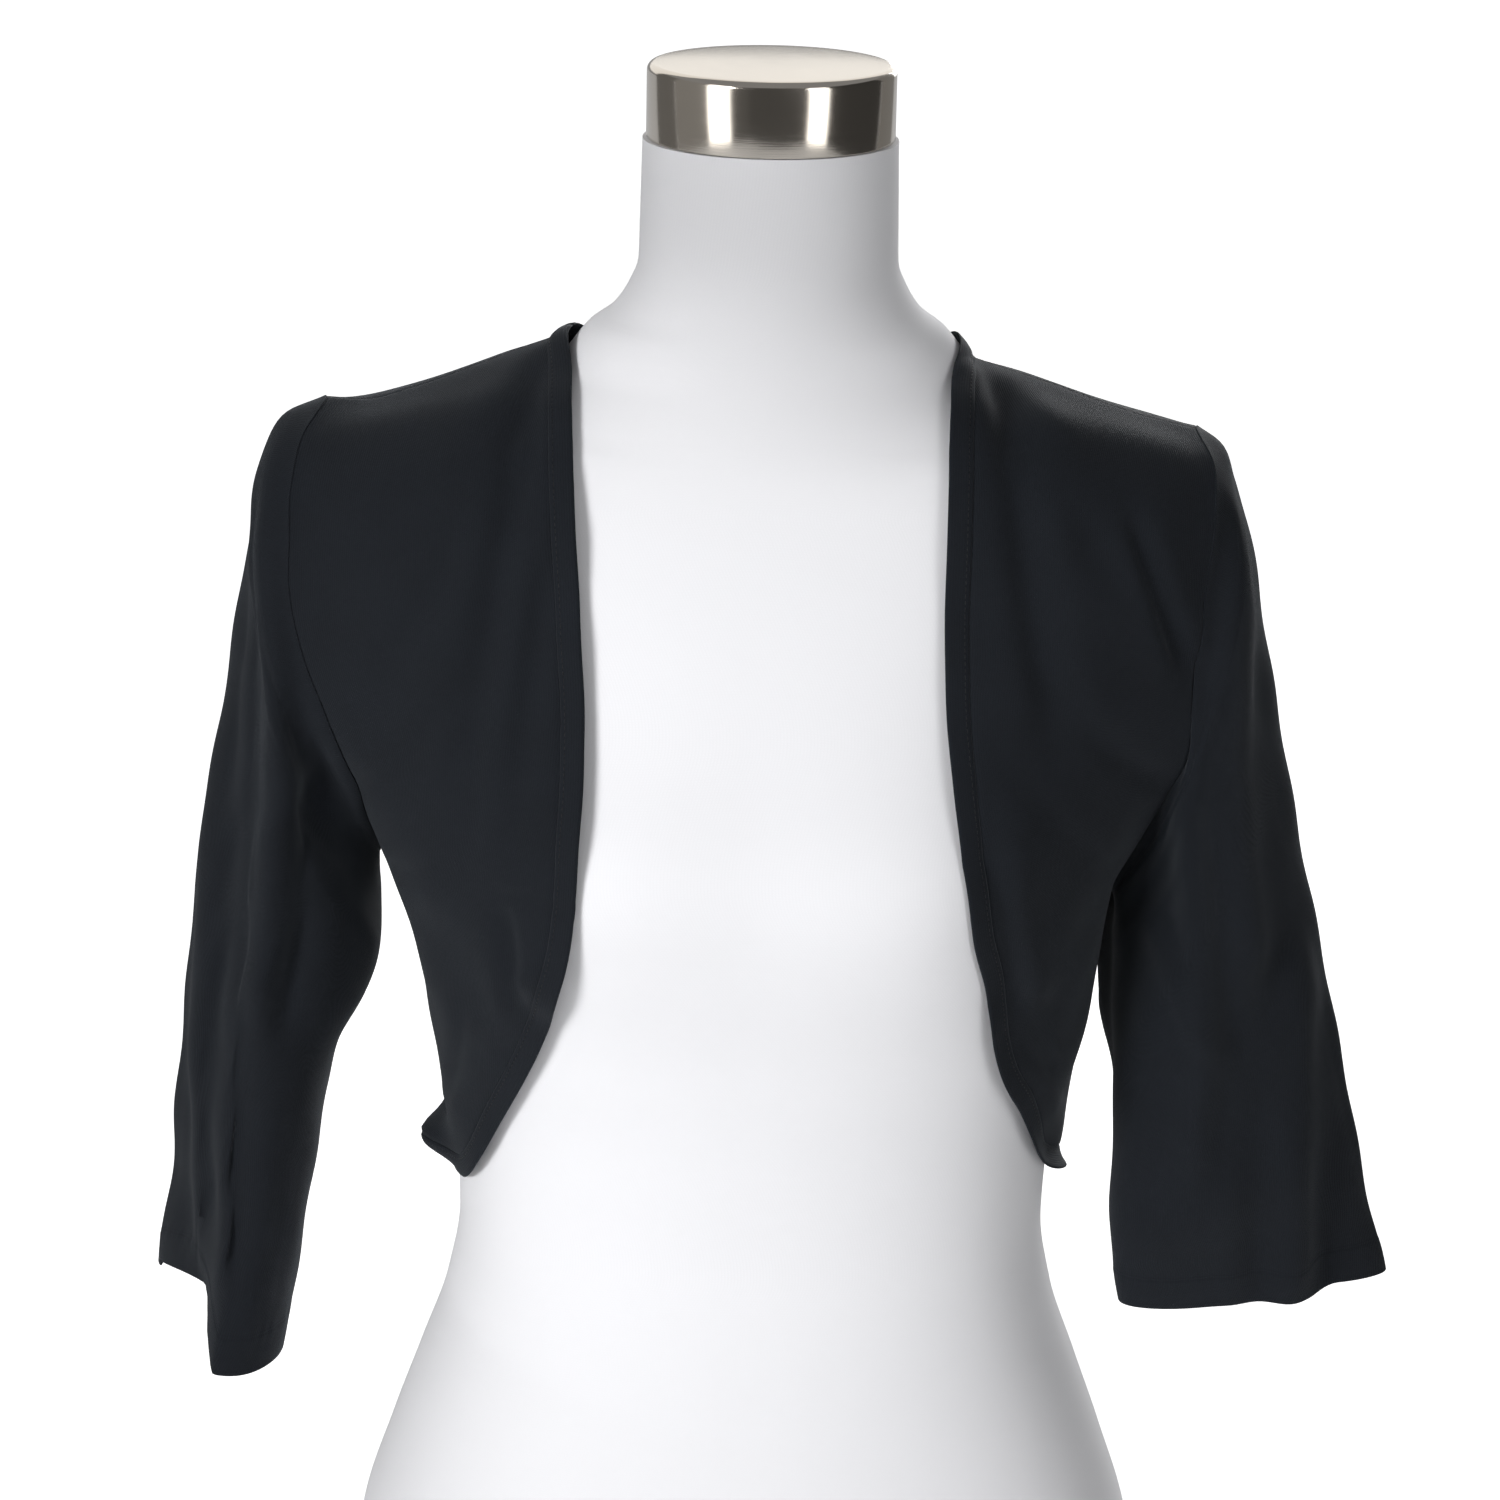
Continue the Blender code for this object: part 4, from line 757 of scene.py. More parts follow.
def edge_runs():
    """The band's seam as one closed curve, cut at the neck points and side hems.

    Its columns are the position, the band's roll and the seam's direction.
    """
    front = {side: edge_rows(FRONT_EDGE[side], sign, -1.0) for side, sign in SIDES.items()}
    neck = edge_rows(BACK_NECK_EDGE, 1.0, 1.0)
    hem = edge_rows(BACK_HEM_EDGE, 1.0, 1.0)
    flip = np.array([-1.0, 1.0, 1.0, 1.0])
    stretches = [
        corner(NECK_POINT["left"], "left", NECK_ROLL),
        front["left"],
        corner(SIDE_HEM["left"], "left", SIDE_HEM_ROLL["left"]),
        hem,
        hem[:1] * flip,
        corner(SIDE_HEM["right"], "right", SIDE_HEM_ROLL["right"]),
        front["right"][::-1],
        corner(NECK_POINT["right"], "right", NECK_ROLL),
        (neck * flip)[:2],
        neck[::-1],
    ]
    starts = np.cumsum([0] + [len(stretch) for stretch in stretches])
    curve = spline(np.concatenate(stretches), closed=True)
    loop = curve[:-1, :3]
    tangents = unit(np.roll(loop, -1, axis=0) - np.roll(loop, 1, axis=0))
    curve = np.column_stack([curve, np.concatenate([tangents, tangents[:1]])])

    def run(first, last):
        return curve[first * SPAN_STEPS:last * SPAN_STEPS + 1]

    left_hem, right_hem = starts[2], starts[5]
    left_turn, right_turn = left_hem - 1, right_hem + 1
    right_neck = starts[7]
    end = starts[-1]
    return {
        "front_left": run(0, left_turn),
        "turn_left": run(left_turn, left_hem),
        "hem": run(left_hem, right_hem)[::-1],
        "turn_right": run(right_hem, right_turn)[::-1],
        "front_right": run(right_turn, right_neck)[::-1],
        "neck": run(right_neck, end),
    }


def armhole_runs(side):
    """An armhole's front and back halves, each from the shoulder down to the underarm."""
    sign = SIDES[side]
    top = mirrored(SHOULDER_POINT[side], side)
    bottom = mirrored(UNDERARM[side], side)
    front = [[sign * row.x, -row.front, row.z] for row in ARMHOLE[side]]
    back = [[sign * row.x, row.back, row.z] for row in ARMHOLE[side]]
    curve = spline([top] + front + [bottom] + back[::-1], closed=True)
    middle = (len(front) + 1) * SPAN_STEPS
    return curve[:middle + 1], curve[middle:][::-1]


def seam_curves():
    """Every seam as evenly spaced points."""
    runs = edge_runs()
    seams = {
        "neck": even(runs["neck"], NECK_STEPS),
        "hem": even(runs["hem"], 2 * SHOULDER_STEPS + NECK_STEPS),
    }
    for side in SIDES:
        seams["edge_" + side] = even(runs["front_" + side], SIDE_STEPS + ARMHOLE_STEPS)
        seams["turn_" + side] = even(runs["turn_" + side], SHOULDER_STEPS)
        shoulder = [NECK_POINT[side], *SHOULDER_SEAM[side], SHOULDER_POINT[side]]
        line = spline([mirrored(point, side) for point in shoulder])
        seams["shoulder_" + side] = even(line, SHOULDER_STEPS)
        flank = [UNDERARM[side], *SIDE_SEAM[side], SIDE_HEM[side]]
        seams["side_" + side] = even(spline([mirrored(point, side) for point in flank]), SIDE_STEPS)
        front, back = armhole_runs(side)
        seams["arm_front_" + side] = even(front, ARMHOLE_STEPS)
        seams["arm_back_" + side] = even(back, ARMHOLE_STEPS)
    return seams


# Panels

def patch(bottom, top, first, last):
    """Grid between four boundary curves, as a straight blend of them."""
    u = np.linspace(0.0, 1.0, len(bottom))[None, :, None]
    v = np.linspace(0.0, 1.0, len(first))[:, None, None]
    ruled = (1 - v) * bottom[None] + v * top[None]
    crossed = (1 - u) * first[:, None] + u * last[:, None]
    corners = ((1 - u) * (1 - v) * bottom[0] + u * (1 - v) * bottom[-1]
               + (1 - u) * v * top[0] + u * v * top[-1])
    return ruled + crossed - corners


def span(grid, share, rounds):
    """A grid's inner points drawn towards their neighbours by a share, round after round."""
    grid = grid.copy()
    for _ in range(rounds):
        beside = (grid[:-2, 1:-1] + grid[2:, 1:-1] + grid[1:-1, :-2] + grid[1:-1, 2:]) / 4
        grid[1:-1, 1:-1] += share[1:-1, 1:-1, None] * (beside - grid[1:-1, 1:-1])
    return grid


def panel(bottom, top, first, last):
    """Cloth between four seams: its points and normals, draped over the form and folded.

    Over the shoulder it spans the form's edge in one smooth curve.
    """
    curves = [curve[:, :3] for curve in (bottom, top, first, last)]
    flat = patch(*curves)
    lifts = patch(*[curve - settle(curve)[0] for curve in curves])
    points, normals = settle(flat)
    share = SPAN_LEAST + (1 - SPAN_LEAST) * smooth_step((flat[..., 2] - SPAN_LOW) / (SPAN_HIGH - SPAN_LOW))
    points = span(points + lifts, share, SPAN_ROUNDS)
    normals = unit(span(normals, share, SPAN_ROUNDS))
    return fold_body(points, normals), normals


def back_panel(seams):
    """The back, with columns from the wearer's right to left and rows from the hem up."""
    top = np.concatenate([
        seams["shoulder_right"][::-1], seams["neck"][1:-1, :3], seams["shoulder_left"]])
    flanks = [
        np.concatenate([seams["side_" + side][::-1], seams["arm_back_" + side][::-1][1:]])
        for side in ("right", "left")]
    return panel(seams["hem"], top, *flanks)


def front_panel(seams, side):
    """A front, with columns from the opening to the side and rows from the hem up."""
    flank = np.concatenate([seams["side_" + side][::-1], seams["arm_front_" + side][::-1][1:]])
    return panel(seams["turn_" + side], seams["shoulder_" + side], seams["edge_" + side][::-1], flank)


# Bands

def band_frame(seam, inside):
    """Places along a band's seam, with the directions across it and out of the cloth, and its roll."""
    points, normals = settle(seam[:, :3])
    shift = seam[:, :3] - points
    points = fold_body(points + shift, normals)
    forwards = np.sign(np.sum(np.gradient(points, axis=0) * seam[:, 4:], axis=1, keepdims=True))
    across = unit(np.cross(unit(seam[:, 4:]) * forwards, normals))
    towards_panel = np.sum((inside - points) * across)
    across = across if towards_panel < 0 else -across
    return points, across, normals, np.radians(seam[:, 3])[:, None]


# Sleeves

def ring_points(ring, side, count):
    """Points round a sleeve ring, from its top over the front to the underarm and back."""
    angle = np.linspace(0.0, 2 * np.pi, count, endpoint=False)
    outer = np.array([ring.outer_x, 0.0, ring.outer_z])
    inner = np.array([ring.inner_x, 0.0, ring.inner_z])
    points = (outer + inner) / 2 + np.cos(angle)[:, None] * (outer - inner) / 2
    points[:, 0] += ring.bow * np.sin(angle) ** 2
    points[:, 1] += ring.middle - ring.half_depth * np.sin(angle) + ring.twist * np.cos(angle)
    turned = np.degrees(np.where(angle > np.pi, angle - 2 * np.pi, angle))
    tucked = ring.tuck * smooth_step((ring.tuck_at - turned) / TUCK_STEP + 0.5)
    tucked *= smooth_step((turned - TUCK_BACK[0]) / (TUCK_BACK[1] - TUCK_BACK[0]))
    points[:, 1] += tucked
    points[:, 2] += TUCK_RISE * tucked * np.maximum(np.sin(angle), 0.0)
    points[:, 0] *= SIDES[side]
    return points


def armhole_frame(panels, side):
    """Points round an armhole, with the direction out of the panels and their normal at each."""
    back_column, back_beside = (-1, -2) if side == "left" else (0, 1)
    front = panels["front_" + side][0][::-1]
    back = panels["back"][0][::-1]
    steps = (len(front) - 1) * ARMHOLE_STEPS // (SIDE_STEPS + ARMHOLE_STEPS)
    points = np.concatenate([front[:steps + 1, -1], back[1:steps, back_column][::-1]])
    beside = np.concatenate([front[:steps + 1, -2], back[1:steps, back_beside][::-1]])
    beside[steps] = front[steps + 1, -1]
    along = unit(np.roll(points, -1, axis=0) - np.roll(points, 1, axis=0))
    across = points - beside
    across = unit(across - along * np.sum(across * along, axis=1, keepdims=True))
    normals = np.cross(along, across) * SIDES[side]
    return points, across, normals


def sleeve_start(panels, side):
    """The sleeve's first ring, beside the panels' edges all round the armhole."""
    armhole, across, normals = armhole_frame(panels, side)
    first = ring_points(SLEEVE[side][0], side, len(armhole))
    heading = unit(first - armhole)
    turn = np.arccos(np.clip(np.sum(heading * across, axis=1), -1.0, 1.0))[:, None]
    sideways = WALL / 2 * np.sin(turn) - SEAM_OVERLAP
    outwards = WALL * (1 - np.cos(turn)) / 2
    return armhole + across * sideways + normals * outwards


def sleeve_line(points):
    """A line down a sleeve with rows close together near the armhole and over the hem."""
    curve = spline(points)
    run = np.concatenate([[0.0], np.cumsum(np.linalg.norm(np.diff(curve, axis=0), axis=1))])
    top = np.array(ARMHOLE_ROWS)
    hem = run[-1] - np.array(HEM_ROWS)[::-1]
    between = np.linspace(top[-1], hem[0], SLEEVE_STEPS + 1)[1:-1]
    places = np.concatenate([top, between, hem])
    return np.stack([np.interp(places, run, column) for column in curve.T], axis=1), places / run[-1]


def sleeve_surface(panels, side):
    """A sleeve's middle surface, a row for each ring from armhole to hem, and its normals.

    Its columns start at the underarm.
    """
    start = sleeve_start(panels, side)
    rings = np.stack([start] + [ring_points(ring, side, len(start)) for ring in SLEEVE[side]])
    drawn = [sleeve_line(rings[:, k]) for k in range(len(start))]
    lines = np.stack([line for line, share in drawn], axis=1)
    shares = np.stack([share for line, share in drawn], axis=1)
    normals = sleeve_normals(lines, side)
    reach = smooth_step(shares / SLEEVE_FOLD_START)
    folds = SLEEVE_FOLDS[side] + SLEEVE_CREASES[side]
    height = (fold_height(lines, normals, folds) + slow_waves(lines)) * reach
    lines = lines + normals * height[..., None]
    lines = np.roll(lines, lines.shape[1] // 2, axis=1)
    return lines, sleeve_normals(lines, side)


def sleeve_normals(lines, side):
    """Outward normals of a sleeve's rings."""
    down = np.gradient(lines, axis=0)
    round_ring = (np.roll(lines, -1, axis=1) - np.roll(lines, 1, axis=1)) / 2
    return unit(np.cross(down, round_ring)) * SIDES[side]


# Form

def form_ring(z, count):
    """Points round the form at a height."""
    angle = np.linspace(0.0, 2 * np.pi, count, endpoint=False)
    z = np.full(count, z)
    half_width, front, back, square = (table_curve(FORM_TABLE[0], column, z) for column in FORM_TABLE[1:])
    wide, deep = np.cos(angle), np.sin(angle)
    depth = np.where(deep < 0, front, back)
    oval = (np.abs(wide) ** square + np.abs(deep) ** square) ** (1.0 / square)
    radius = 1.0 / oval
    for _ in range(RING_STEPS):
        points = np.column_stack([wide * half_width * radius, deep * depth * radius, z])
        radius = radius - form_field(points) / oval
    return points


def form_levels(step):
    """Heights of the form's rings: every row of its table, and more between where rows lie far apart."""
    heights = [FORM[0].z]
    for low, high in zip(FORM, FORM[1:]):
        slope_length = np.hypot(high.z - low.z, high.half_width - low.half_width)
        parts = int(np.ceil(slope_length / step))
        heights += [low.z + (high.z - low.z) * (part + 1) / parts for part in range(parts)]
    return heights


# Fine cloth

def between_rows(grid, places, axis):
    """A grid's rows or columns at fractional places, blended from the two beside each."""
    low = np.minimum(places.astype(int), grid.shape[axis] - 2)
    shape = [1] * grid.ndim
    shape[axis] = len(places)
    share = (places - low).reshape(shape)
    return np.take(grid, low, axis) * (1 - share) + np.take(grid, low + 1, axis) * share


def add_edge_rows(grid):
    """A panel's grid with more rows and columns close to its seams."""
    for axis in (0, 1):
        last = grid.shape[axis] - 1
        cuts = np.array(EDGE_CUTS)
        places = np.sort(np.concatenate([np.arange(last + 1), cuts, last - cuts]))
        grid = between_rows(grid, places, axis)
    return grid


def run_length(grid, axis):
    """Distance run along one axis of a grid, from its first row or column."""
    steps = np.linalg.norm(np.diff(grid, axis=axis), axis=-1)
    pad = [(1, 0) if k == axis else (0, 0) for k in (0, 1)]
    return np.pad(np.cumsum(steps, axis=axis), pad)


def seam_dip(distance):
    """How far the cloth's face dips at a distance from a seam."""
    return SEAM_DIP * np.exp(-(distance / SEAM_DIP_WIDTH) ** 2)


def cut_size(grid, closed=False):
    """The flat width, length and area of the cloth in a grid."""
    if closed:
        grid = np.concatenate([grid, grid[:, :1]], axis=1)
    across, down = run_length(grid, 1), run_length(grid, 0)
    sides = np.diff(grid, axis=1)[:-1], np.diff(grid, axis=0)[:, :-1]
    area = np.linalg.norm(np.cross(*sides), axis=-1).sum()
    return float(across[:, -1].max()), float(down[-1].max()), float(area)


def shell(name, outer, inner, uv, ring=False, flip=False):
    """Closed thin cloth between two grids of points. uv has one more column where the ring closes."""
    rows, count = outer.shape[:2]
    spans = count if ring else count - 1
    i, j = np.meshgrid(np.arange(rows - 1), np.arange(spans), indexing="ij")
    k = (j + 1) % count
    face = np.stack([i * count + j, i * count + k, (i + 1) * count + k, (i + 1) * count + j], axis=-1)
    corners = np.stack([uv[i, j], uv[i, j + 1], uv[i + 1, j + 1], uv[i + 1, j]], axis=2)
    base = rows * count
    quads = [face.reshape(-1, 4), face.reshape(-1, 4)[:, ::-1] + base]
    maps = [corners.reshape(-1, 4, 2), corners.reshape(-1, 4, 2)[:, ::-1]]

    def rim(first, second, first_uv, second_uv):
        quads.append(np.stack([first + base, second + base, second, first], axis=-1))
        maps.append(np.stack([first_uv, second_uv, second_uv, first_uv], axis=1))

    j = np.arange(spans)
    k = (j + 1) % count
    top = (rows - 1) * count
    rim(j, k, uv[0, j], uv[0, j + 1])
    rim(top + k, top + j, uv[-1, j + 1], uv[-1, j])
    if not ring:
        i = np.arange(rows - 1)
        rim((i + 1) * count, i * count, uv[i + 1, 0], uv[i, 0])
        rim(i * count + count - 1, (i + 1) * count + count - 1, uv[i, -1], uv[i + 1, -1])
    faces = np.concatenate(quads)
    face_uv = np.concatenate(maps)
    if flip:
        faces, face_uv = faces[:, ::-1], face_uv[:, ::-1]
    return quad_mesh(name, np.concatenate([outer.reshape(-1, 3), inner.reshape(-1, 3)]), faces, face_uv)


def quad_mesh(name, vertices, faces, face_uv=None):
    """A smooth mesh object from arrays of vertices and faces, with a uv map where one is given."""
    mesh = bpy.data.meshes.new(name)
    mesh.from_pydata(vertices.tolist(), [], faces.tolist())
    if face_uv is not None:
        layer = mesh.uv_layers.new(name="UVMap")
        layer.data.foreach_set("uv", np.ascontiguousarray(face_uv, dtype=np.float32).ravel())
    mesh.shade_smooth()
    piece = bpy.data.objects.new(name, mesh)
    bpy.context.scene.collection.objects.link(piece)
    return piece


def sharpen(piece, angle):
    """Marks the edges of a mesh that turn by more than an angle, so that they shade crisp."""
    piece.data.set_sharp_from_angle(angle=angle)


def panel_piece(name, surface, thickness):
    """A body panel's cloth, dipped along its seams."""
    points, normals = (add_edge_rows(grid) for grid in surface)
    across, down = run_length(points, 1), run_length(points, 0)
    edge = np.minimum.reduce([across, across[:, -1:] - across, down, down[-1:] - down])
    half = np.full(edge.shape, thickness / 2)
    outer = points + normals * (half - seam_dip(edge))[..., None]
    inner = points - normals * half[..., None]
    middle = points.shape[1] // 2
    uv = np.stack([across - across[:, middle:middle + 1], down], axis=-1)
    turned = np.cross(points[0, 1] - points[0, 0], points[1, 0] - points[0, 0])
    return shell(name, outer, inner, uv, flip=np.dot(turned, normals[0, 0]) < 0), cut_size(points)


def hem_profile(from_hem, around):
    """Extra half thickness of a sleeve's turned hem, with its stitch line and puckers."""
    turned = HEM_RISE * smooth_step((HEM_WIDTH - from_hem) / STITCH_GROOVE_WIDTH)
    line = np.exp(-((from_hem - HEM_STITCH_AT) / STITCH_GROOVE_WIDTH) ** 2)
    beside = np.exp(-((from_hem - HEM_STITCH_AT) / (5 * STITCH_GROOVE_WIDTH)) ** 2)
    turns = 2 * np.pi * around / PUCKER_LENGTH
    pucker = np.sin(turns + 2.0 * np.sin(0.31 * turns)) * beside
    return turned - HEM_GROOVE * line + PUCKER_HEIGHT * pucker


def sleeve_piece(name, side, thickness):
    """A sleeve's cloth and the line of its hem stitches."""
    points, normals = sleeve_surface(body_panels(), side)
    closed = np.concatenate([points, points[:, :1]], axis=1)
    around, down = run_length(closed, 1), run_length(closed, 0)
    from_hem = (down[-1:] - down)[:, :-1]
    from_armhole = down[:, :-1]
    rounding = np.sqrt(np.clip(1 - (1 - np.minimum(from_hem / EDGE_ROUND, 1)) ** 2, 0.02, 1))
    half = (thickness / 2 + hem_profile(from_hem, around[:, :-1])) * rounding
    outer = points + normals * (half - seam_dip(from_armhole))[..., None]
    inner = points - normals * half[..., None]
    uv = np.stack([around, down], axis=-1)
    piece = shell(name, outer, inner, uv, ring=True, flip=side == "left")
    row = int(np.argmin(np.abs(from_hem.mean(axis=1) - HEM_STITCH_AT)))
    line = outer[row] + normals[row] * 0.05 * MM
    return piece, cut_size(points, closed=True), np.concatenate([line, line[:1]])


def band_piece(name, seam, beside, thickness):
    """A run of the folded edge band and the line of its stitches."""
    points, across, normals, roll = band_frame(seam, beside)
    station = points
    outer, inner = [], []
    for step in range(BAND_STEPS + 1):
        share = step / BAND_STEPS
        turn = roll * share
        facing = normals * np.cos(turn) - across * np.sin(turn)
        distance, outward = form_distance(station)
        short = np.maximum(LEAST_CLEARANCE + (BAND_WALL - WALL) / 2 - distance, 0.0)
        station = station + outward * short[:, None]
        round_edge = (1 - abs(2 * share - 1) ** BAND_SQUARENESS) ** (1 / BAND_SQUARENESS)
        from_line = (step - BAND_STITCH_STATION) * BAND_WIDTH / BAND_STEPS
        groove = BAND_GROOVE * np.exp(-(from_line / STITCH_GROOVE_WIDTH) ** 2)
        half = thickness / 2 * max(round_edge, THINNEST_EDGE)
        outer.append(station + facing * (half - groove))
        inner.append(station - facing * half)
        station = station + (across * np.cos(turn) + normals * np.sin(turn)) * (BAND_WIDTH / BAND_STEPS)
    loop = np.stack(outer + inner[::-1], axis=1)
    closed = np.concatenate([loop, loop[:, :1]], axis=1)
    uv = np.stack([run_length(closed, 1), run_length(closed, 0)], axis=-1)
    facing = normals * np.cos(roll * 0.1) - across * np.sin(roll * 0.1)
    line = outer[BAND_STITCH_STATION] + facing * 0.05 * MM
    return tube(name, loop, uv), line


def tube(name, loop, uv):
    """Closed tube through rings of points, capped at both ends."""
    rows, count = loop.shape[:2]
    i, j = np.meshgrid(np.arange(rows - 1), np.arange(count), indexing="ij")
    k = (j + 1) % count
    face = np.stack([i * count + j, i * count + k, (i + 1) * count + k, (i + 1) * count + j], axis=-1)
    corners = np.stack([uv[i, j], uv[i, j + 1], uv[i + 1, j + 1], uv[i + 1, j]], axis=2)
    vertices = loop.reshape(-1, 3)
    faces, face_uv = face.reshape(-1, 4), corners.reshape(-1, 4, 2)
    half = count // 2
    for row, forward in ((0, -1), (rows - 1, 1)):
        a = row * count + np.arange(half - 1)
        b = row * count + count - 1 - np.arange(half - 1)
        cap = np.stack([a, a + 1, b - 1, b], axis=-1)[:, ::forward]
        first, last = a % count, b % count
        cap_uv = np.stack([uv[row, first], uv[row, first + 1], uv[row, last - 1], uv[row, last]],
                          axis=1)[:, ::forward]
        faces = np.concatenate([faces, cap])
        face_uv = np.concatenate([face_uv, cap_uv])
    corner_points = vertices[faces]
    slants = np.cross(corner_points[:, 1], corner_points[:, 2])
    volume = np.einsum("ij,ij->i", corner_points[:, 0], slants).sum()
    if volume < 0:
        faces, face_uv = faces[:, ::-1], face_uv[:, ::-1]
    return quad_mesh(name, vertices, faces, face_uv)


@lru_cache(maxsize=None)
def seams():
    """Every seam of the garment."""
    return seam_curves()


@lru_cache(maxsize=None)
def body_panels():
    """The middle surfaces of the back and the fronts, with their normals."""
    surfaces = {"back": back_panel(seams())}
    for side in SIDES:
        surfaces["front_" + side] = front_panel(seams(), side)
    return surfaces


def band_lines():
    """Each band's seam, with a row of panel points beside it."""
    back_points = body_panels()["back"][0]
    neck_columns = slice(SHOULDER_STEPS, SHOULDER_STEPS + NECK_STEPS + 1)
    bands = {
        "band_neck": (seams()["neck"], back_points[-2, neck_columns]),
        "band_hem": (seams()["hem"], back_points[1]),
    }
    for side in SIDES:
        points = body_panels()["front_" + side][0]
        edge = np.concatenate([seams()["edge_" + side], seams()["turn_" + side][1:]])
        beside = np.concatenate([points[::-1, 1], points[1, 1:]])
        bands["band_front_" + side] = (edge, beside)
    return bands


# Node trees

def add_node(tree, kind, **values):
    """A node in a tree, with attributes or input values set by name."""
    node = tree.nodes.new(kind)
    for key, value in values.items():
        if key in node.inputs:
            node.inputs[key].default_value = value
        else:
            setattr(node, key, value)
    return node


def math(tree, operation, first, second=0.0):
    """The output of a Math node between two sockets or numbers."""
    node = tree.nodes.new("ShaderNodeMath")
    node.operation = operation
    for socket, value in zip(node.inputs, (first, second)):
        if isinstance(value, (int, float)):
            socket.default_value = value
        else:
            tree.links.new(value, socket)
    return node.outputs[0]


def new_group(name, inputs, outputs, tree_type="ShaderNodeTree"):
    """An empty node group with named sockets, and its input and output nodes."""
    tree = bpy.data.node_groups.new(name, tree_type)
    for label, kind, value in inputs:
        socket = tree.interface.new_socket(label, in_out="INPUT", socket_type=kind)
        if value is not None:
            socket.default_value = value
    for label, kind in outputs:
        tree.interface.new_socket(label, in_out="OUTPUT", socket_type=kind)
    return tree, tree.nodes.new("NodeGroupInput"), tree.nodes.new("NodeGroupOutput")


def knit_stitches():
    """Node group: plain knit loops that follow the UV map, in metres."""
    name = "Knit Stitches"
    if name in bpy.data.node_groups:
        return bpy.data.node_groups[name]
    tree, source, result = new_group(
        name,
        [("Wale", "NodeSocketFloat", 0.0011), ("Course", "NodeSocketFloat", 0.0008)],
        [("Height", "NodeSocketFloat")])
    uv = add_node(tree, "ShaderNodeUVMap", uv_map="UVMap")
    parts = add_node(tree, "ShaderNodeSeparateXYZ")
    tree.links.new(uv.outputs["UV"], parts.inputs[0])
    wale = math(tree, "DIVIDE", parts.outputs["X"], source.outputs["Wale"])
    course = math(tree, "DIVIDE", parts.outputs["Y"], source.outputs["Course"])
    in_wale = math(tree, "FRACT", wale)
    from_middle = math(tree, "ABSOLUTE", math(tree, "SUBTRACT", in_wale, 0.5))
    slanted = math(tree, "ADD", course, from_middle)
    rib = math(tree, "SINE", math(tree, "MULTIPLY", in_wale, np.pi))
    loop = math(tree, "SINE", math(tree, "MULTIPLY", slanted, 2 * np.pi))
    loop = math(tree, "ADD", math(tree, "MULTIPLY", loop, 0.3), 0.7)
    tree.links.new(math(tree, "MULTIPLY", rib, loop), result.inputs["Height"])
    return tree


def soft_mottle():
    """Node group: slow unevenness and fine fuzz over a piece's own coordinates."""
    name = "Soft Mottle"
    if name in bpy.data.node_groups:
        return bpy.data.node_groups[name]
    tree, source, result = new_group(
        name,
        [("Slow Scale", "NodeSocketFloat", 28.0), ("Fine Scale", "NodeSocketFloat", 900.0)],
        [("Slow", "NodeSocketFloat"), ("Fine", "NodeSocketFloat")])
    place = add_node(tree, "ShaderNodeTexCoord")
    for label in ("Slow", "Fine"):
        noise = add_node(tree, "ShaderNodeTexNoise", Detail=3.0, Roughness=0.6)
        tree.links.new(place.outputs["Object"], noise.inputs["Vector"])
        tree.links.new(source.outputs[label + " Scale"], noise.inputs["Scale"])
        tree.links.new(noise.outputs["Fac"], result.inputs[label])
    return tree


def lint_specks():
    """Node group: a few small pale specks caught on cloth."""
    name = "Lint Specks"
    if name in bpy.data.node_groups:
        return bpy.data.node_groups[name]
    tree, source, result = new_group(
        name,
        [("Specks Per Metre", "NodeSocketFloat", 26.0), ("Speck Size", "NodeSocketFloat", 0.0005),
         ("Share", "NodeSocketFloat", 0.2)],
        [("Mask", "NodeSocketFloat")])
    place = add_node(tree, "ShaderNodeTexCoord")
    cells = add_node(tree, "ShaderNodeTexVoronoi")
    tree.links.new(place.outputs["Object"], cells.inputs["Vector"])
    tree.links.new(source.outputs["Specks Per Metre"], cells.inputs["Scale"])
    size = math(tree, "MULTIPLY", source.outputs["Speck Size"], source.outputs["Specks Per Metre"])
    near = math(tree, "LESS_THAN", cells.outputs["Distance"], size)
    parts = add_node(tree, "ShaderNodeSeparateColor")
    tree.links.new(cells.outputs["Color"], parts.inputs[0])
    chosen = math(tree, "LESS_THAN", parts.outputs["Red"], source.outputs["Share"])
    tree.links.new(math(tree, "MULTIPLY", near, chosen), result.inputs["Mask"])
    return tree


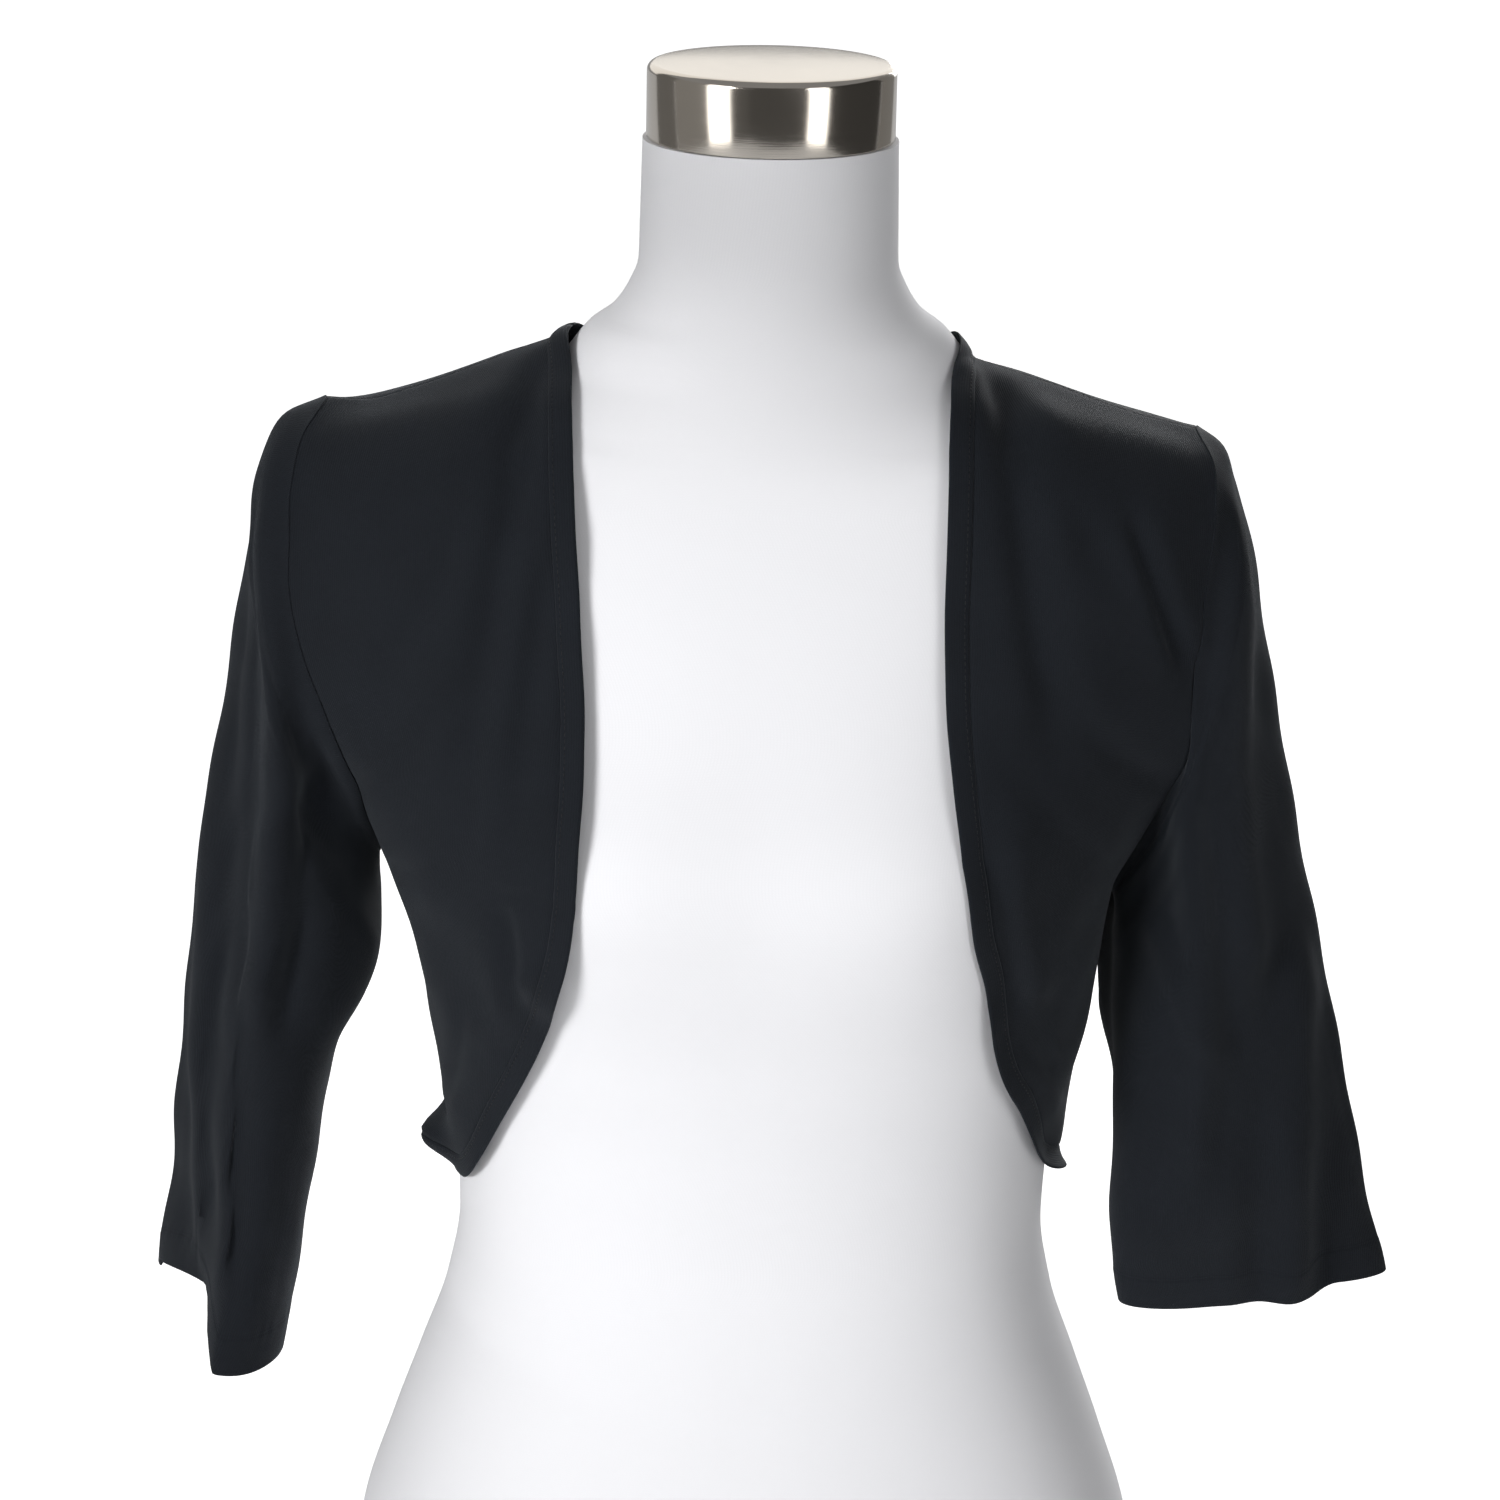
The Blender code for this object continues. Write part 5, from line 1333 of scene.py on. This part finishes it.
def brushed_rings():
    """Node group: fine turned lines round the axis, on the side and on the top."""
    name = "Brushed Rings"
    if name in bpy.data.node_groups:
        return bpy.data.node_groups[name]
    tree, source, result = new_group(
        name,
        [("Lines Per Metre", "NodeSocketFloat", 2600.0), ("Along", "NodeSocketFloat", 22.0)],
        [("Line", "NodeSocketFloat"), ("Smudge", "NodeSocketFloat")])
    place = add_node(tree, "ShaderNodeTexCoord")
    parts = add_node(tree, "ShaderNodeSeparateXYZ")
    tree.links.new(place.outputs["Object"], parts.inputs[0])
    x, y, z = parts.outputs
    square = math(tree, "ADD", math(tree, "MULTIPLY", x, x), math(tree, "MULTIPLY", y, y))
    radius = math(tree, "SQRT", square)
    ring = math(tree, "MULTIPLY", math(tree, "ADD", radius, z), source.outputs["Lines Per Metre"])
    joined = add_node(tree, "ShaderNodeCombineXYZ")
    tree.links.new(math(tree, "MULTIPLY", x, source.outputs["Along"]), joined.inputs[0])
    tree.links.new(math(tree, "MULTIPLY", y, source.outputs["Along"]), joined.inputs[1])
    tree.links.new(ring, joined.inputs[2])
    lines = add_node(tree, "ShaderNodeTexNoise", Scale=1.0, Detail=2.0, Roughness=0.6)
    tree.links.new(joined.outputs[0], lines.inputs["Vector"])
    smudge = add_node(tree, "ShaderNodeTexNoise", Scale=34.0, Detail=2.0, Roughness=0.5)
    tree.links.new(place.outputs["Object"], smudge.inputs["Vector"])
    tree.links.new(lines.outputs["Fac"], result.inputs["Line"])
    tree.links.new(smudge.outputs["Fac"], result.inputs["Smudge"])
    return tree


def use_group(tree, group, **values):
    """A node group placed in a material, with its own values."""
    node = tree.nodes.new("ShaderNodeGroup")
    node.node_tree = group
    for key, value in values.items():
        node.inputs[key.replace("_", " ")].default_value = value
    return node


def blend_color(tree, factor, low, high):
    """The output of a colour mix between two colours or sockets."""
    mix = add_node(tree, "ShaderNodeMix", data_type="RGBA")
    for index, value in ((0, factor), (6, low), (7, high)):
        if isinstance(value, bpy.types.NodeSocket):
            tree.links.new(value, mix.inputs[index])
        else:
            mix.inputs[index].default_value = value
    return mix.outputs[2]


def rescaled(tree, value, low, high):
    """A value from zero to one moved to between low and high."""
    return math(tree, "ADD", math(tree, "MULTIPLY", value, high - low), low)


def relief(tree, height, distance, strength=1.0, normal=None):
    """A Bump node's normal for a height."""
    bump = add_node(tree, "ShaderNodeBump", Strength=strength, Distance=distance)
    tree.links.new(height, bump.inputs["Height"])
    if normal is not None:
        tree.links.new(normal, bump.inputs["Normal"])
    return bump.outputs["Normal"]


def new_material(name):
    """A material with nodes, its tree and its Principled shader."""
    if name in bpy.data.materials:
        return bpy.data.materials[name], None, None
    material = bpy.data.materials.new(name)
    material.use_nodes = True
    return material, material.node_tree, material.node_tree.nodes["Principled BSDF"]


def shade(color, amount):
    """A colour lighter or darker by an amount, with alpha."""
    return (*(min(max(channel * amount, 0.0), 1.0) for channel in color), 1.0)


def black_jersey():
    """Fine black knit with a soft sheen, painted highlights on its raised loops, a little lint and slow
    unevenness.
    """
    settings = bpy.context.scene.shrug_garment
    material, tree, shader = new_material("Black Jersey")
    if tree is None:
        return material
    knit = use_group(tree, knit_stitches())
    mottle = use_group(tree, soft_mottle())
    lint = use_group(tree, lint_specks())
    cloth = blend_color(
        tree, mottle.outputs["Slow"], shade(settings.jersey_color, 0.75), shade(settings.jersey_color, 1.25))
    # Painted highlight: the raised knit loops are painted lighter, towards twice the cloth's colour.
    raised = math(tree, "MULTIPLY", knit.outputs["Height"], 0.35)
    lit = blend_color(tree, raised, cloth, shade(settings.jersey_color, 2.0))
    specked = blend_color(tree, lint.outputs["Mask"], lit, (*LINT_COLOR, 1.0))
    tree.links.new(specked, shader.inputs["Base Color"])
    tree.links.new(rescaled(tree, mottle.outputs["Fine"], 0.78, 0.96), shader.inputs["Roughness"])
    fuzz = relief(tree, mottle.outputs["Fine"], FUZZ_RELIEF)
    tree.links.new(relief(tree, knit.outputs["Height"], KNIT_RELIEF, normal=fuzz), shader.inputs["Normal"])
    shader.inputs["Specular IOR Level"].default_value = 0.12
    shader.inputs["Sheen Weight"].default_value = 0.08
    shader.inputs["Sheen Roughness"].default_value = 0.45
    shader.inputs["Sheen Tint"].default_value = (0.82, 0.90, 1.0, 1.0)
    return material


def stitch_thread():
    """Twisted topstitching thread, a little glossier than the cloth."""
    settings = bpy.context.scene.shrug_garment
    material, tree, shader = new_material("Stitch Thread")
    if tree is None:
        return material
    mottle = use_group(tree, soft_mottle(), Slow_Scale=180.0, Fine_Scale=2500.0)
    tone = blend_color(
        tree, mottle.outputs["Slow"], shade(settings.thread_color, 0.6), shade(settings.thread_color, 1.4))
    tree.links.new(tone, shader.inputs["Base Color"])
    tree.links.new(rescaled(tree, mottle.outputs["Fine"], 0.4, 0.6), shader.inputs["Roughness"])
    tree.links.new(relief(tree, mottle.outputs["Fine"], FUZZ_RELIEF), shader.inputs["Normal"])
    shader.inputs["Specular IOR Level"].default_value = 0.2
    shader.inputs["Sheen Weight"].default_value = 0.05
    return material


def white_jersey():
    """The form's cover: fine off-white jersey, its rows level, with painted shade in the hollows between its
    loops.
    """
    settings = bpy.context.scene.shrug_form
    material, tree, shader = new_material("White Jersey")
    if tree is None:
        return material
    knit = use_group(tree, knit_stitches(), Wale=COVER_WALE, Course=COVER_COURSE)
    mottle = use_group(tree, soft_mottle(), Slow_Scale=14.0)
    cover = blend_color(
        tree, mottle.outputs["Slow"], shade(settings.cover_color, 0.985), shade(settings.cover_color, 1.015))
    # Painted shade: the knit's hollows are painted five per cent darker than its raised loops.
    raised = math(tree, "MULTIPLY", knit.outputs["Height"], 0.5)
    tone = blend_color(tree, raised, shade(settings.cover_color, 0.95), cover)
    tree.links.new(tone, shader.inputs["Base Color"])
    tree.links.new(rescaled(tree, mottle.outputs["Fine"], 0.72, 0.88), shader.inputs["Roughness"])
    tree.links.new(relief(tree, knit.outputs["Height"], COVER_RELIEF), shader.inputs["Normal"])
    shader.inputs["Specular IOR Level"].default_value = 0.3
    shader.inputs["Sheen Weight"].default_value = 0.12
    return material


def brushed_nickel():
    """The neck cap's metal, with turned brush lines."""
    settings = bpy.context.scene.shrug_form
    material, tree, shader = new_material("Brushed Nickel")
    if tree is None:
        return material
    rings = use_group(tree, brushed_rings())
    tone = blend_color(
        tree, rings.outputs["Smudge"], shade(settings.cap_color, 0.93), shade(settings.cap_color, 1.05))
    tree.links.new(tone, shader.inputs["Base Color"])
    low, high = settings.cap_roughness - 0.04, settings.cap_roughness + 0.06
    tree.links.new(rescaled(tree, rings.outputs["Line"], low, high), shader.inputs["Roughness"])
    tree.links.new(relief(tree, rings.outputs["Line"], BRUSH_RELIEF), shader.inputs["Normal"])
    shader.inputs["Metallic"].default_value = 1.0
    return material


def paint(piece, material):
    """Gives a piece its material."""
    piece.data.materials.clear()
    piece.data.materials.append(material)


# Stitching

def stitch_row():
    """Node group: one ellipsoid of thread after another along a line of edges."""
    name = "Stitch Row"
    if name in bpy.data.node_groups:
        return bpy.data.node_groups[name]
    tree, source, result = new_group(
        name,
        [("Line", "NodeSocketGeometry", None), ("Spacing", "NodeSocketFloat", 2.8 * MM),
         ("Length", "NodeSocketFloat", 2.1 * MM), ("Width", "NodeSocketFloat", 0.42 * MM),
         ("Seed", "NodeSocketInt", 3), ("Thread", "NodeSocketMaterial", None)],
        [("Stitches", "NodeSocketGeometry")], "GeometryNodeTree")
    curve = tree.nodes.new("GeometryNodeMeshToCurve")
    points = tree.nodes.new("GeometryNodeCurveToPoints")
    points.mode = "LENGTH"
    ball = tree.nodes.new("GeometryNodeMeshUVSphere")
    ball.inputs["Segments"].default_value = 6
    ball.inputs["Rings"].default_value = 6
    ball.inputs["Radius"].default_value = 0.5
    smooth = tree.nodes.new("GeometryNodeSetShadeSmooth")
    size = tree.nodes.new("ShaderNodeCombineXYZ")
    vary = tree.nodes.new("FunctionNodeRandomValue")
    vary.data_type = "FLOAT"
    place = tree.nodes.new("GeometryNodeInstanceOnPoints")
    real = tree.nodes.new("GeometryNodeRealizeInstances")
    finish = tree.nodes.new("GeometryNodeSetMaterial")
    stretch = tree.nodes.new("ShaderNodeMath")
    stretch.operation = "MULTIPLY"
    low, high = [socket for socket in vary.inputs if socket.enabled and socket.name in ("Min", "Max")]
    low.default_value = 0.86
    high.default_value = 1.08
    seed = next(socket for socket in vary.inputs if socket.enabled and socket.name == "Seed")
    value = next(socket for socket in vary.outputs if socket.enabled)
    join = tree.links.new
    join(source.outputs["Line"], curve.inputs["Mesh"])
    join(curve.outputs["Curve"], points.inputs["Curve"])
    join(source.outputs["Spacing"], points.inputs["Length"])
    join(source.outputs["Seed"], seed)
    join(source.outputs["Length"], stretch.inputs[0])
    join(value, stretch.inputs[1])
    join(source.outputs["Width"], size.inputs[0])
    join(source.outputs["Width"], size.inputs[1])
    join(stretch.outputs[0], size.inputs[2])
    join(ball.outputs["Mesh"], smooth.inputs["Geometry"])
    join(points.outputs["Points"], place.inputs["Points"])
    join(points.outputs["Rotation"], place.inputs["Rotation"])
    join(smooth.outputs["Geometry"], place.inputs["Instance"])
    join(size.outputs[0], place.inputs["Scale"])
    join(place.outputs["Instances"], real.inputs["Geometry"])
    join(real.outputs["Geometry"], finish.inputs["Geometry"])
    join(source.outputs["Thread"], finish.inputs["Material"])
    join(finish.outputs["Geometry"], result.inputs["Stitches"])
    return tree


def stitches(name, line, seed):
    """A row of topstitches along a line of points, as a plain mesh piece."""
    settings = bpy.context.scene.shrug_garment
    guide_mesh = bpy.data.meshes.new(name + "_guide")
    guide_mesh.from_pydata(line.tolist(), [(k, k + 1) for k in range(len(line) - 1)], [])
    guide = bpy.data.objects.new(name + "_guide", guide_mesh)
    bpy.context.scene.collection.objects.link(guide)
    row = guide.modifiers.new("Stitches", "NODES")
    row.node_group = stitch_row()
    values = {
        "Spacing": settings.stitch_spacing,
        "Length": settings.stitch_length,
        "Width": settings.thread_width,
        "Seed": seed,
        "Thread": stitch_thread(),
    }
    for item in row.node_group.interface.items_tree:
        if item.in_out == "INPUT" and item.name in values:
            row[item.identifier] = values[item.name]
    finished = guide.evaluated_get(bpy.context.evaluated_depsgraph_get())
    mesh = bpy.data.meshes.new_from_object(finished)
    guide.modifiers.remove(row)
    bpy.data.objects.remove(guide, do_unlink=True)
    piece = bpy.data.objects.new(name, mesh)
    bpy.context.scene.collection.objects.link(piece)
    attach(piece, BODY)
    return piece


# Form

def cover_mesh():
    """The form's cover as rings, closed by a flat base and neck, with its uv in metres."""
    rings = np.stack([form_ring(z, FORM_POINTS) for z in form_levels(FORM_STEP)])
    normals = form_distance(rings)[1]
    rings = rings + normals * fold_height(rings, normals, COVER_CREASES)[..., None]
    closed = np.concatenate([rings, rings[:, :1]], axis=1)
    uv = np.stack([run_length(closed, 1), run_length(closed, 0)], axis=-1)
    return rings, uv


def cap_profile():
    """Radius and height down the cap, from the middle of its top to its open underside."""
    arc = np.linspace(np.pi / 2, 0.0, CAP_RIM_STEPS + 1)
    rim_centre = CAP_RADIUS - CAP_RIM, CAP_TOP - CAP_CROWN - CAP_RIM
    crown = [(radius, CAP_TOP - CAP_CROWN * (radius / rim_centre[0]) ** 2)
             for radius in np.linspace(0.0, rim_centre[0], CAP_CROWN_STEPS + 1)[:-1]]
    rim = [(rim_centre[0] + CAP_RIM * np.cos(a), rim_centre[1] + CAP_RIM * np.sin(a)) for a in arc]
    lip = CAP_BASE + CAP_LIP
    foot = [(CAP_RADIUS, lip), (CAP_RADIUS - CAP_LIP / 3, CAP_BASE + CAP_LIP / 4),
            (CAP_RADIUS - CAP_LIP, CAP_BASE), (0.0, CAP_BASE)]
    return crown + rim + foot


def lathe(name, profile, segments):
    """A closed turned mesh from a profile of radius and height that starts and ends on the axis."""
    angles = np.linspace(0.0, 2 * np.pi, segments, endpoint=False)
    vertices = [(0.0, 0.0, profile[0][1])]
    for radius, z in profile[1:-1]:
        vertices += [(radius * np.cos(a), radius * np.sin(a), z) for a in angles]
    vertices.append((0.0, 0.0, profile[-1][1]))
    last = len(vertices) - 1
    faces = []
    for k in range(segments):
        n = (k + 1) % segments
        faces.append((0, 1 + k, 1 + n))
        for ring in range(len(profile) - 3):
            a = 1 + ring * segments
            b = a + segments
            faces.append((a + k, b + k, b + n, a + n))
        a = 1 + (len(profile) - 3) * segments
        faces.append((a + k, last, a + n))
    mesh = bpy.data.meshes.new(name)
    mesh.from_pydata(vertices, [], faces)
    mesh.shade_smooth()
    piece = bpy.data.objects.new(name, mesh)
    bpy.context.scene.collection.objects.link(piece)
    return piece


# Operators

class SHRUG_OT_form_cover(bpy.types.Operator):
    """Build the dress form's jersey cover."""

    bl_idname = "shrug.form_cover"
    bl_label = "Form Cover"

    def execute(self, context):
        rings, uv = cover_mesh()
        cover = tube("form_cover", rings, uv)
        sharpen(cover, COVER_SHARP_ANGLE)
        paint(cover, white_jersey())
        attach(cover, BODY)
        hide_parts("form_torso")
        return {"FINISHED"}


class SHRUG_OT_neck_cap(bpy.types.Operator):
    """Build the turned metal cap on the form's neck."""

    bl_idname = "shrug.neck_cap"
    bl_label = "Neck Cap"

    def execute(self, context):
        cap = lathe("turned_neck_cap", cap_profile(), CAP_SEGMENTS)
        sharpen(cap, CAP_SHARP_ANGLE)
        paint(cap, brushed_nickel())
        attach(cap, BODY)
        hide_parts("form_neck_cap")
        return {"FINISHED"}


class SHRUG_OT_bands(bpy.types.Operator):
    """Build the folded edge bands and their topstitching."""

    bl_idname = "shrug.bands"
    bl_label = "Edge Bands"

    def execute(self, context):
        thickness = context.scene.shrug_garment.band_thickness
        for seed, (node, (seam, beside)) in enumerate(band_lines().items()):
            band, line = band_piece("jersey_" + node, seam, beside, thickness)
            paint(band, black_jersey())
            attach(band, BODY)
            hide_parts(node)
            stitches("stitches_" + node, line, seed)
        return {"FINISHED"}


class SHRUG_OT_body(bpy.types.Operator):
    """Build the back and the two fronts."""

    bl_idname = "shrug.body"
    bl_label = "Back and Fronts"

    def execute(self, context):
        thickness = context.scene.shrug_garment.cloth_thickness
        for panel_name, surface in body_panels().items():
            piece, cut = panel_piece("jersey_" + panel_name, surface, thickness)
            paint(piece, black_jersey())
            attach(piece, BODY)
            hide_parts("shrug_" + panel_name)
        return {"FINISHED"}


class SHRUG_OT_sleeves(bpy.types.Operator):
    """Build the two set-in sleeves and their hem stitching."""

    bl_idname = "shrug.sleeves"
    bl_label = "Sleeves"

    def execute(self, context):
        thickness = context.scene.shrug_garment.cloth_thickness
        for seed, side in enumerate(SIDES):
            piece, cut, line = sleeve_piece("jersey_sleeve_" + side, side, thickness)
            paint(piece, black_jersey())
            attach(piece, BODY)
            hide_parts("sleeve_" + side)
            stitches("stitches_sleeve_" + side, line, HEM_SEED + seed)
        return {"FINISHED"}


class SHRUG_OT_stage(bpy.types.Operator):
    """Set the studio: a pale floor, soft lights and the camera."""

    bl_idname = "shrug.stage"
    bl_label = "Stage"

    def execute(self, context):
        settings = context.scene.shrug_stage
        half = FLOOR_SIZE / 2
        floor = flat_card("studio_floor", [(sx * half, sy * half, 0.0) for sx, sy in CARD_CORNERS])
        paint(floor, studio_floor(settings))
        strips = [reflected_strip(strip) for strip in STRIPS]
        cards = [neck_flag(), *(side_card(side) for side in SIDES)]
        for light in LIGHTS:
            soft_light(light, settings.key_power)
        set_surround(settings.sky_strength)
        set_camera()
        context.scene.view_settings.view_transform = "Standard"
        return {"FINISHED"}


def flat_card(name, corners):
    """A flat stage card from its four corners."""
    mesh = bpy.data.meshes.new(name)
    mesh.from_pydata(corners, [], [(0, 1, 2, 3)])
    card = bpy.data.objects.new(name, mesh)
    bpy.context.scene.collection.objects.link(card)
    return card


def reflected_strip(strip):
    """An upright strip round the form that only shiny surfaces show."""
    ends = [(STRIP_DISTANCE * np.sin(angle), -STRIP_DISTANCE * np.cos(angle))
            for angle in np.radians((strip.first, strip.last))]
    corners = [(*ends[0], strip.low), (*ends[1], strip.low), (*ends[1], strip.high), (*ends[0], strip.high)]
    card = flat_card(strip.name, corners)
    paint(card, strip_glow(strip))
    card.visible_camera = False
    card.visible_diffuse = False
    card.visible_shadow = False
    return card


def studio_floor(settings):
    """Smooth pale translucent floor, lit evenly from below."""
    material, tree, shader = new_material("Studio Floor")
    if tree is None:
        return material
    mottle = use_group(tree, soft_mottle(), Slow_Scale=1.5, Fine_Scale=40.0)
    color = settings.floor_color
    tone = blend_color(tree, mottle.outputs["Slow"], shade(color, 0.99), shade(color, 1.01))
    tree.links.new(tone, shader.inputs["Base Color"])
    shader.inputs["Roughness"].default_value = 0.9
    shader.inputs["Specular IOR Level"].default_value = 0.1
    shader.inputs["Emission Color"].default_value = (1.0, 1.0, 1.0, 1.0)
    seen = add_node(tree, "ShaderNodeLightPath").outputs["Is Camera Ray"]
    low, high = settings.floor_glow * FLOOR_BOUNCE, settings.floor_glow
    tree.links.new(rescaled(tree, seen, low, high), shader.inputs["Emission Strength"])
    return material


def neck_flag():
    """A black flag across the key light's path to the neck."""
    towards = Vector(LIGHTS[0].place) - Vector(FLAG_PLACE)
    turn = towards.to_track_quat("Z", "Y").to_matrix().to_4x4()
    stand = Matrix.Translation(FLAG_PLACE) @ turn
    width, height = FLAG_SIZE
    corners = [stand @ Vector((sx * width / 2, sy * height / 2, 0.0)) for sx, sy in CARD_CORNERS]
    flag = flat_card("neck_flag", corners)
    paint(flag, flag_black())
    flag.visible_camera = False
    flag.visible_glossy = False
    flag.visible_diffuse = False
    return flag


def side_card(side):
    """A tall black card beside the form."""
    x = SIDES[side] * SIDE_CARD_PLACE
    near, far = -SIDE_CARD_REACH, SIDE_CARD_REACH
    corners = [(x, near, 0.0), (x, far, 0.0), (x, far, SIDE_CARD_HEIGHT), (x, near, SIDE_CARD_HEIGHT)]
    card = flat_card("side_card_" + side, corners)
    paint(card, flag_black())
    card.visible_camera = False
    card.visible_glossy = False
    card.visible_shadow = False
    return card


def flag_black():
    """Matt black of the studio flag."""
    material, tree, shader = new_material("Flag Black")
    if tree is None:
        return material
    shader.inputs["Base Color"].default_value = (0.01, 0.01, 0.01, 1.0)
    shader.inputs["Roughness"].default_value = 1.0
    return material


def strip_glow(strip):
    """Even glow of a reflected strip."""
    material, tree, shader = new_material("Glow " + strip.name)
    if tree is None:
        return material
    shader.inputs["Base Color"].default_value = (0.0, 0.0, 0.0, 1.0)
    shader.inputs["Specular IOR Level"].default_value = 0.0
    shader.inputs["Emission Color"].default_value = (1.0, 0.97, 0.92, 1.0)
    shader.inputs["Emission Strength"].default_value = strip.glow
    return material


def soft_light(light, key_power):
    """A square area light aimed at a point."""
    data = bpy.data.lights.new(light.name, "AREA")
    data.shape = "SQUARE"
    data.size = light.size
    data.spread = np.radians(light.spread)
    data.energy = light.power * key_power
    lamp = bpy.data.objects.new(light.name, data)
    aim = Vector(light.target) - Vector(light.place)
    lamp.location = light.place
    lamp.rotation_euler = aim.to_track_quat("-Z", "Y").to_euler()
    bpy.context.scene.collection.objects.link(lamp)
    return lamp


def set_surround(strength):
    """Even white light from all round."""
    world = bpy.data.worlds.new("Studio Surround")
    world.use_nodes = True
    background = world.node_tree.nodes["Background"]
    background.inputs["Color"].default_value = (1.0, 1.0, 1.0, 1.0)
    seen = add_node(world.node_tree, "ShaderNodeLightPath").outputs["Is Camera Ray"]
    shown = rescaled(world.node_tree, seen, strength, SURROUND_SEEN)
    world.node_tree.links.new(shown, background.inputs["Strength"])
    bpy.context.scene.world = world


def set_camera():
    """The photograph's viewpoint."""
    pitch = np.radians(CAMERA_PITCH)
    roll = np.radians(CAMERA_ROLL)
    forward = Vector((0.0, np.cos(pitch), -np.sin(pitch)))
    right = Vector((1.0, 0.0, 0.0))
    up = right.cross(forward)
    across = right * np.cos(roll) + up * np.sin(roll)
    above = up * np.cos(roll) - right * np.sin(roll)
    turn = Matrix((across, above, -forward)).transposed()
    data = bpy.data.cameras.new("Studio Camera")
    data.lens = CAMERA_LENS
    data.sensor_width = CAMERA_SENSOR
    data.clip_end = 100.0
    camera = bpy.data.objects.new("Studio Camera", data)
    camera.matrix_world = Matrix.Translation(CAMERA_PLACE) @ turn.to_4x4()
    bpy.context.scene.collection.objects.link(camera)
    bpy.context.scene.camera = camera


class SHRUG_PT_panel(bpy.types.Panel):
    """Buttons and settings of the shrug."""

    bl_idname = "SHRUG_PT_panel"
    bl_label = "Knitted Shrug"
    bl_space_type = "VIEW_3D"
    bl_region_type = "UI"
    bl_category = "Shrug"

    def draw(self, context):
        scene = context.scene
        for title, settings in (("Garment", scene.shrug_garment), ("Form", scene.shrug_form),
                                ("Stage", scene.shrug_stage)):
            box = self.layout.box()
            box.label(text=title)
            for prop in settings.bl_rna.properties:
                if prop.identifier not in ("rna_type", "name"):
                    box.prop(settings, prop.identifier)
        for operator in OPERATORS:
            self.layout.operator(operator.bl_idname)


OPERATORS = (
    SHRUG_OT_form_cover,
    SHRUG_OT_neck_cap,
    SHRUG_OT_bands,
    SHRUG_OT_body,
    SHRUG_OT_sleeves,
    SHRUG_OT_stage,
)
CLASSES = (GarmentSettings, FormSettings, StageSettings, *OPERATORS, SHRUG_PT_panel)


def register():
    """Adds the classes and the scene's settings."""
    for item in CLASSES:
        bpy.utils.register_class(item)
    bpy.types.Scene.shrug_garment = PointerProperty(type=GarmentSettings)
    bpy.types.Scene.shrug_form = PointerProperty(type=FormSettings)
    bpy.types.Scene.shrug_stage = PointerProperty(type=StageSettings)


def unregister():
    """Removes what register added."""
    del bpy.types.Scene.shrug_stage
    del bpy.types.Scene.shrug_form
    del bpy.types.Scene.shrug_garment
    for item in reversed(CLASSES):
        bpy.utils.unregister_class(item)


def main():
    """Builds every piece in order."""
    register()
    for operator in OPERATORS:
        group, name = operator.bl_idname.split(".")
        getattr(getattr(bpy.ops, group), name)()


if __name__ == "__main__":
    main()
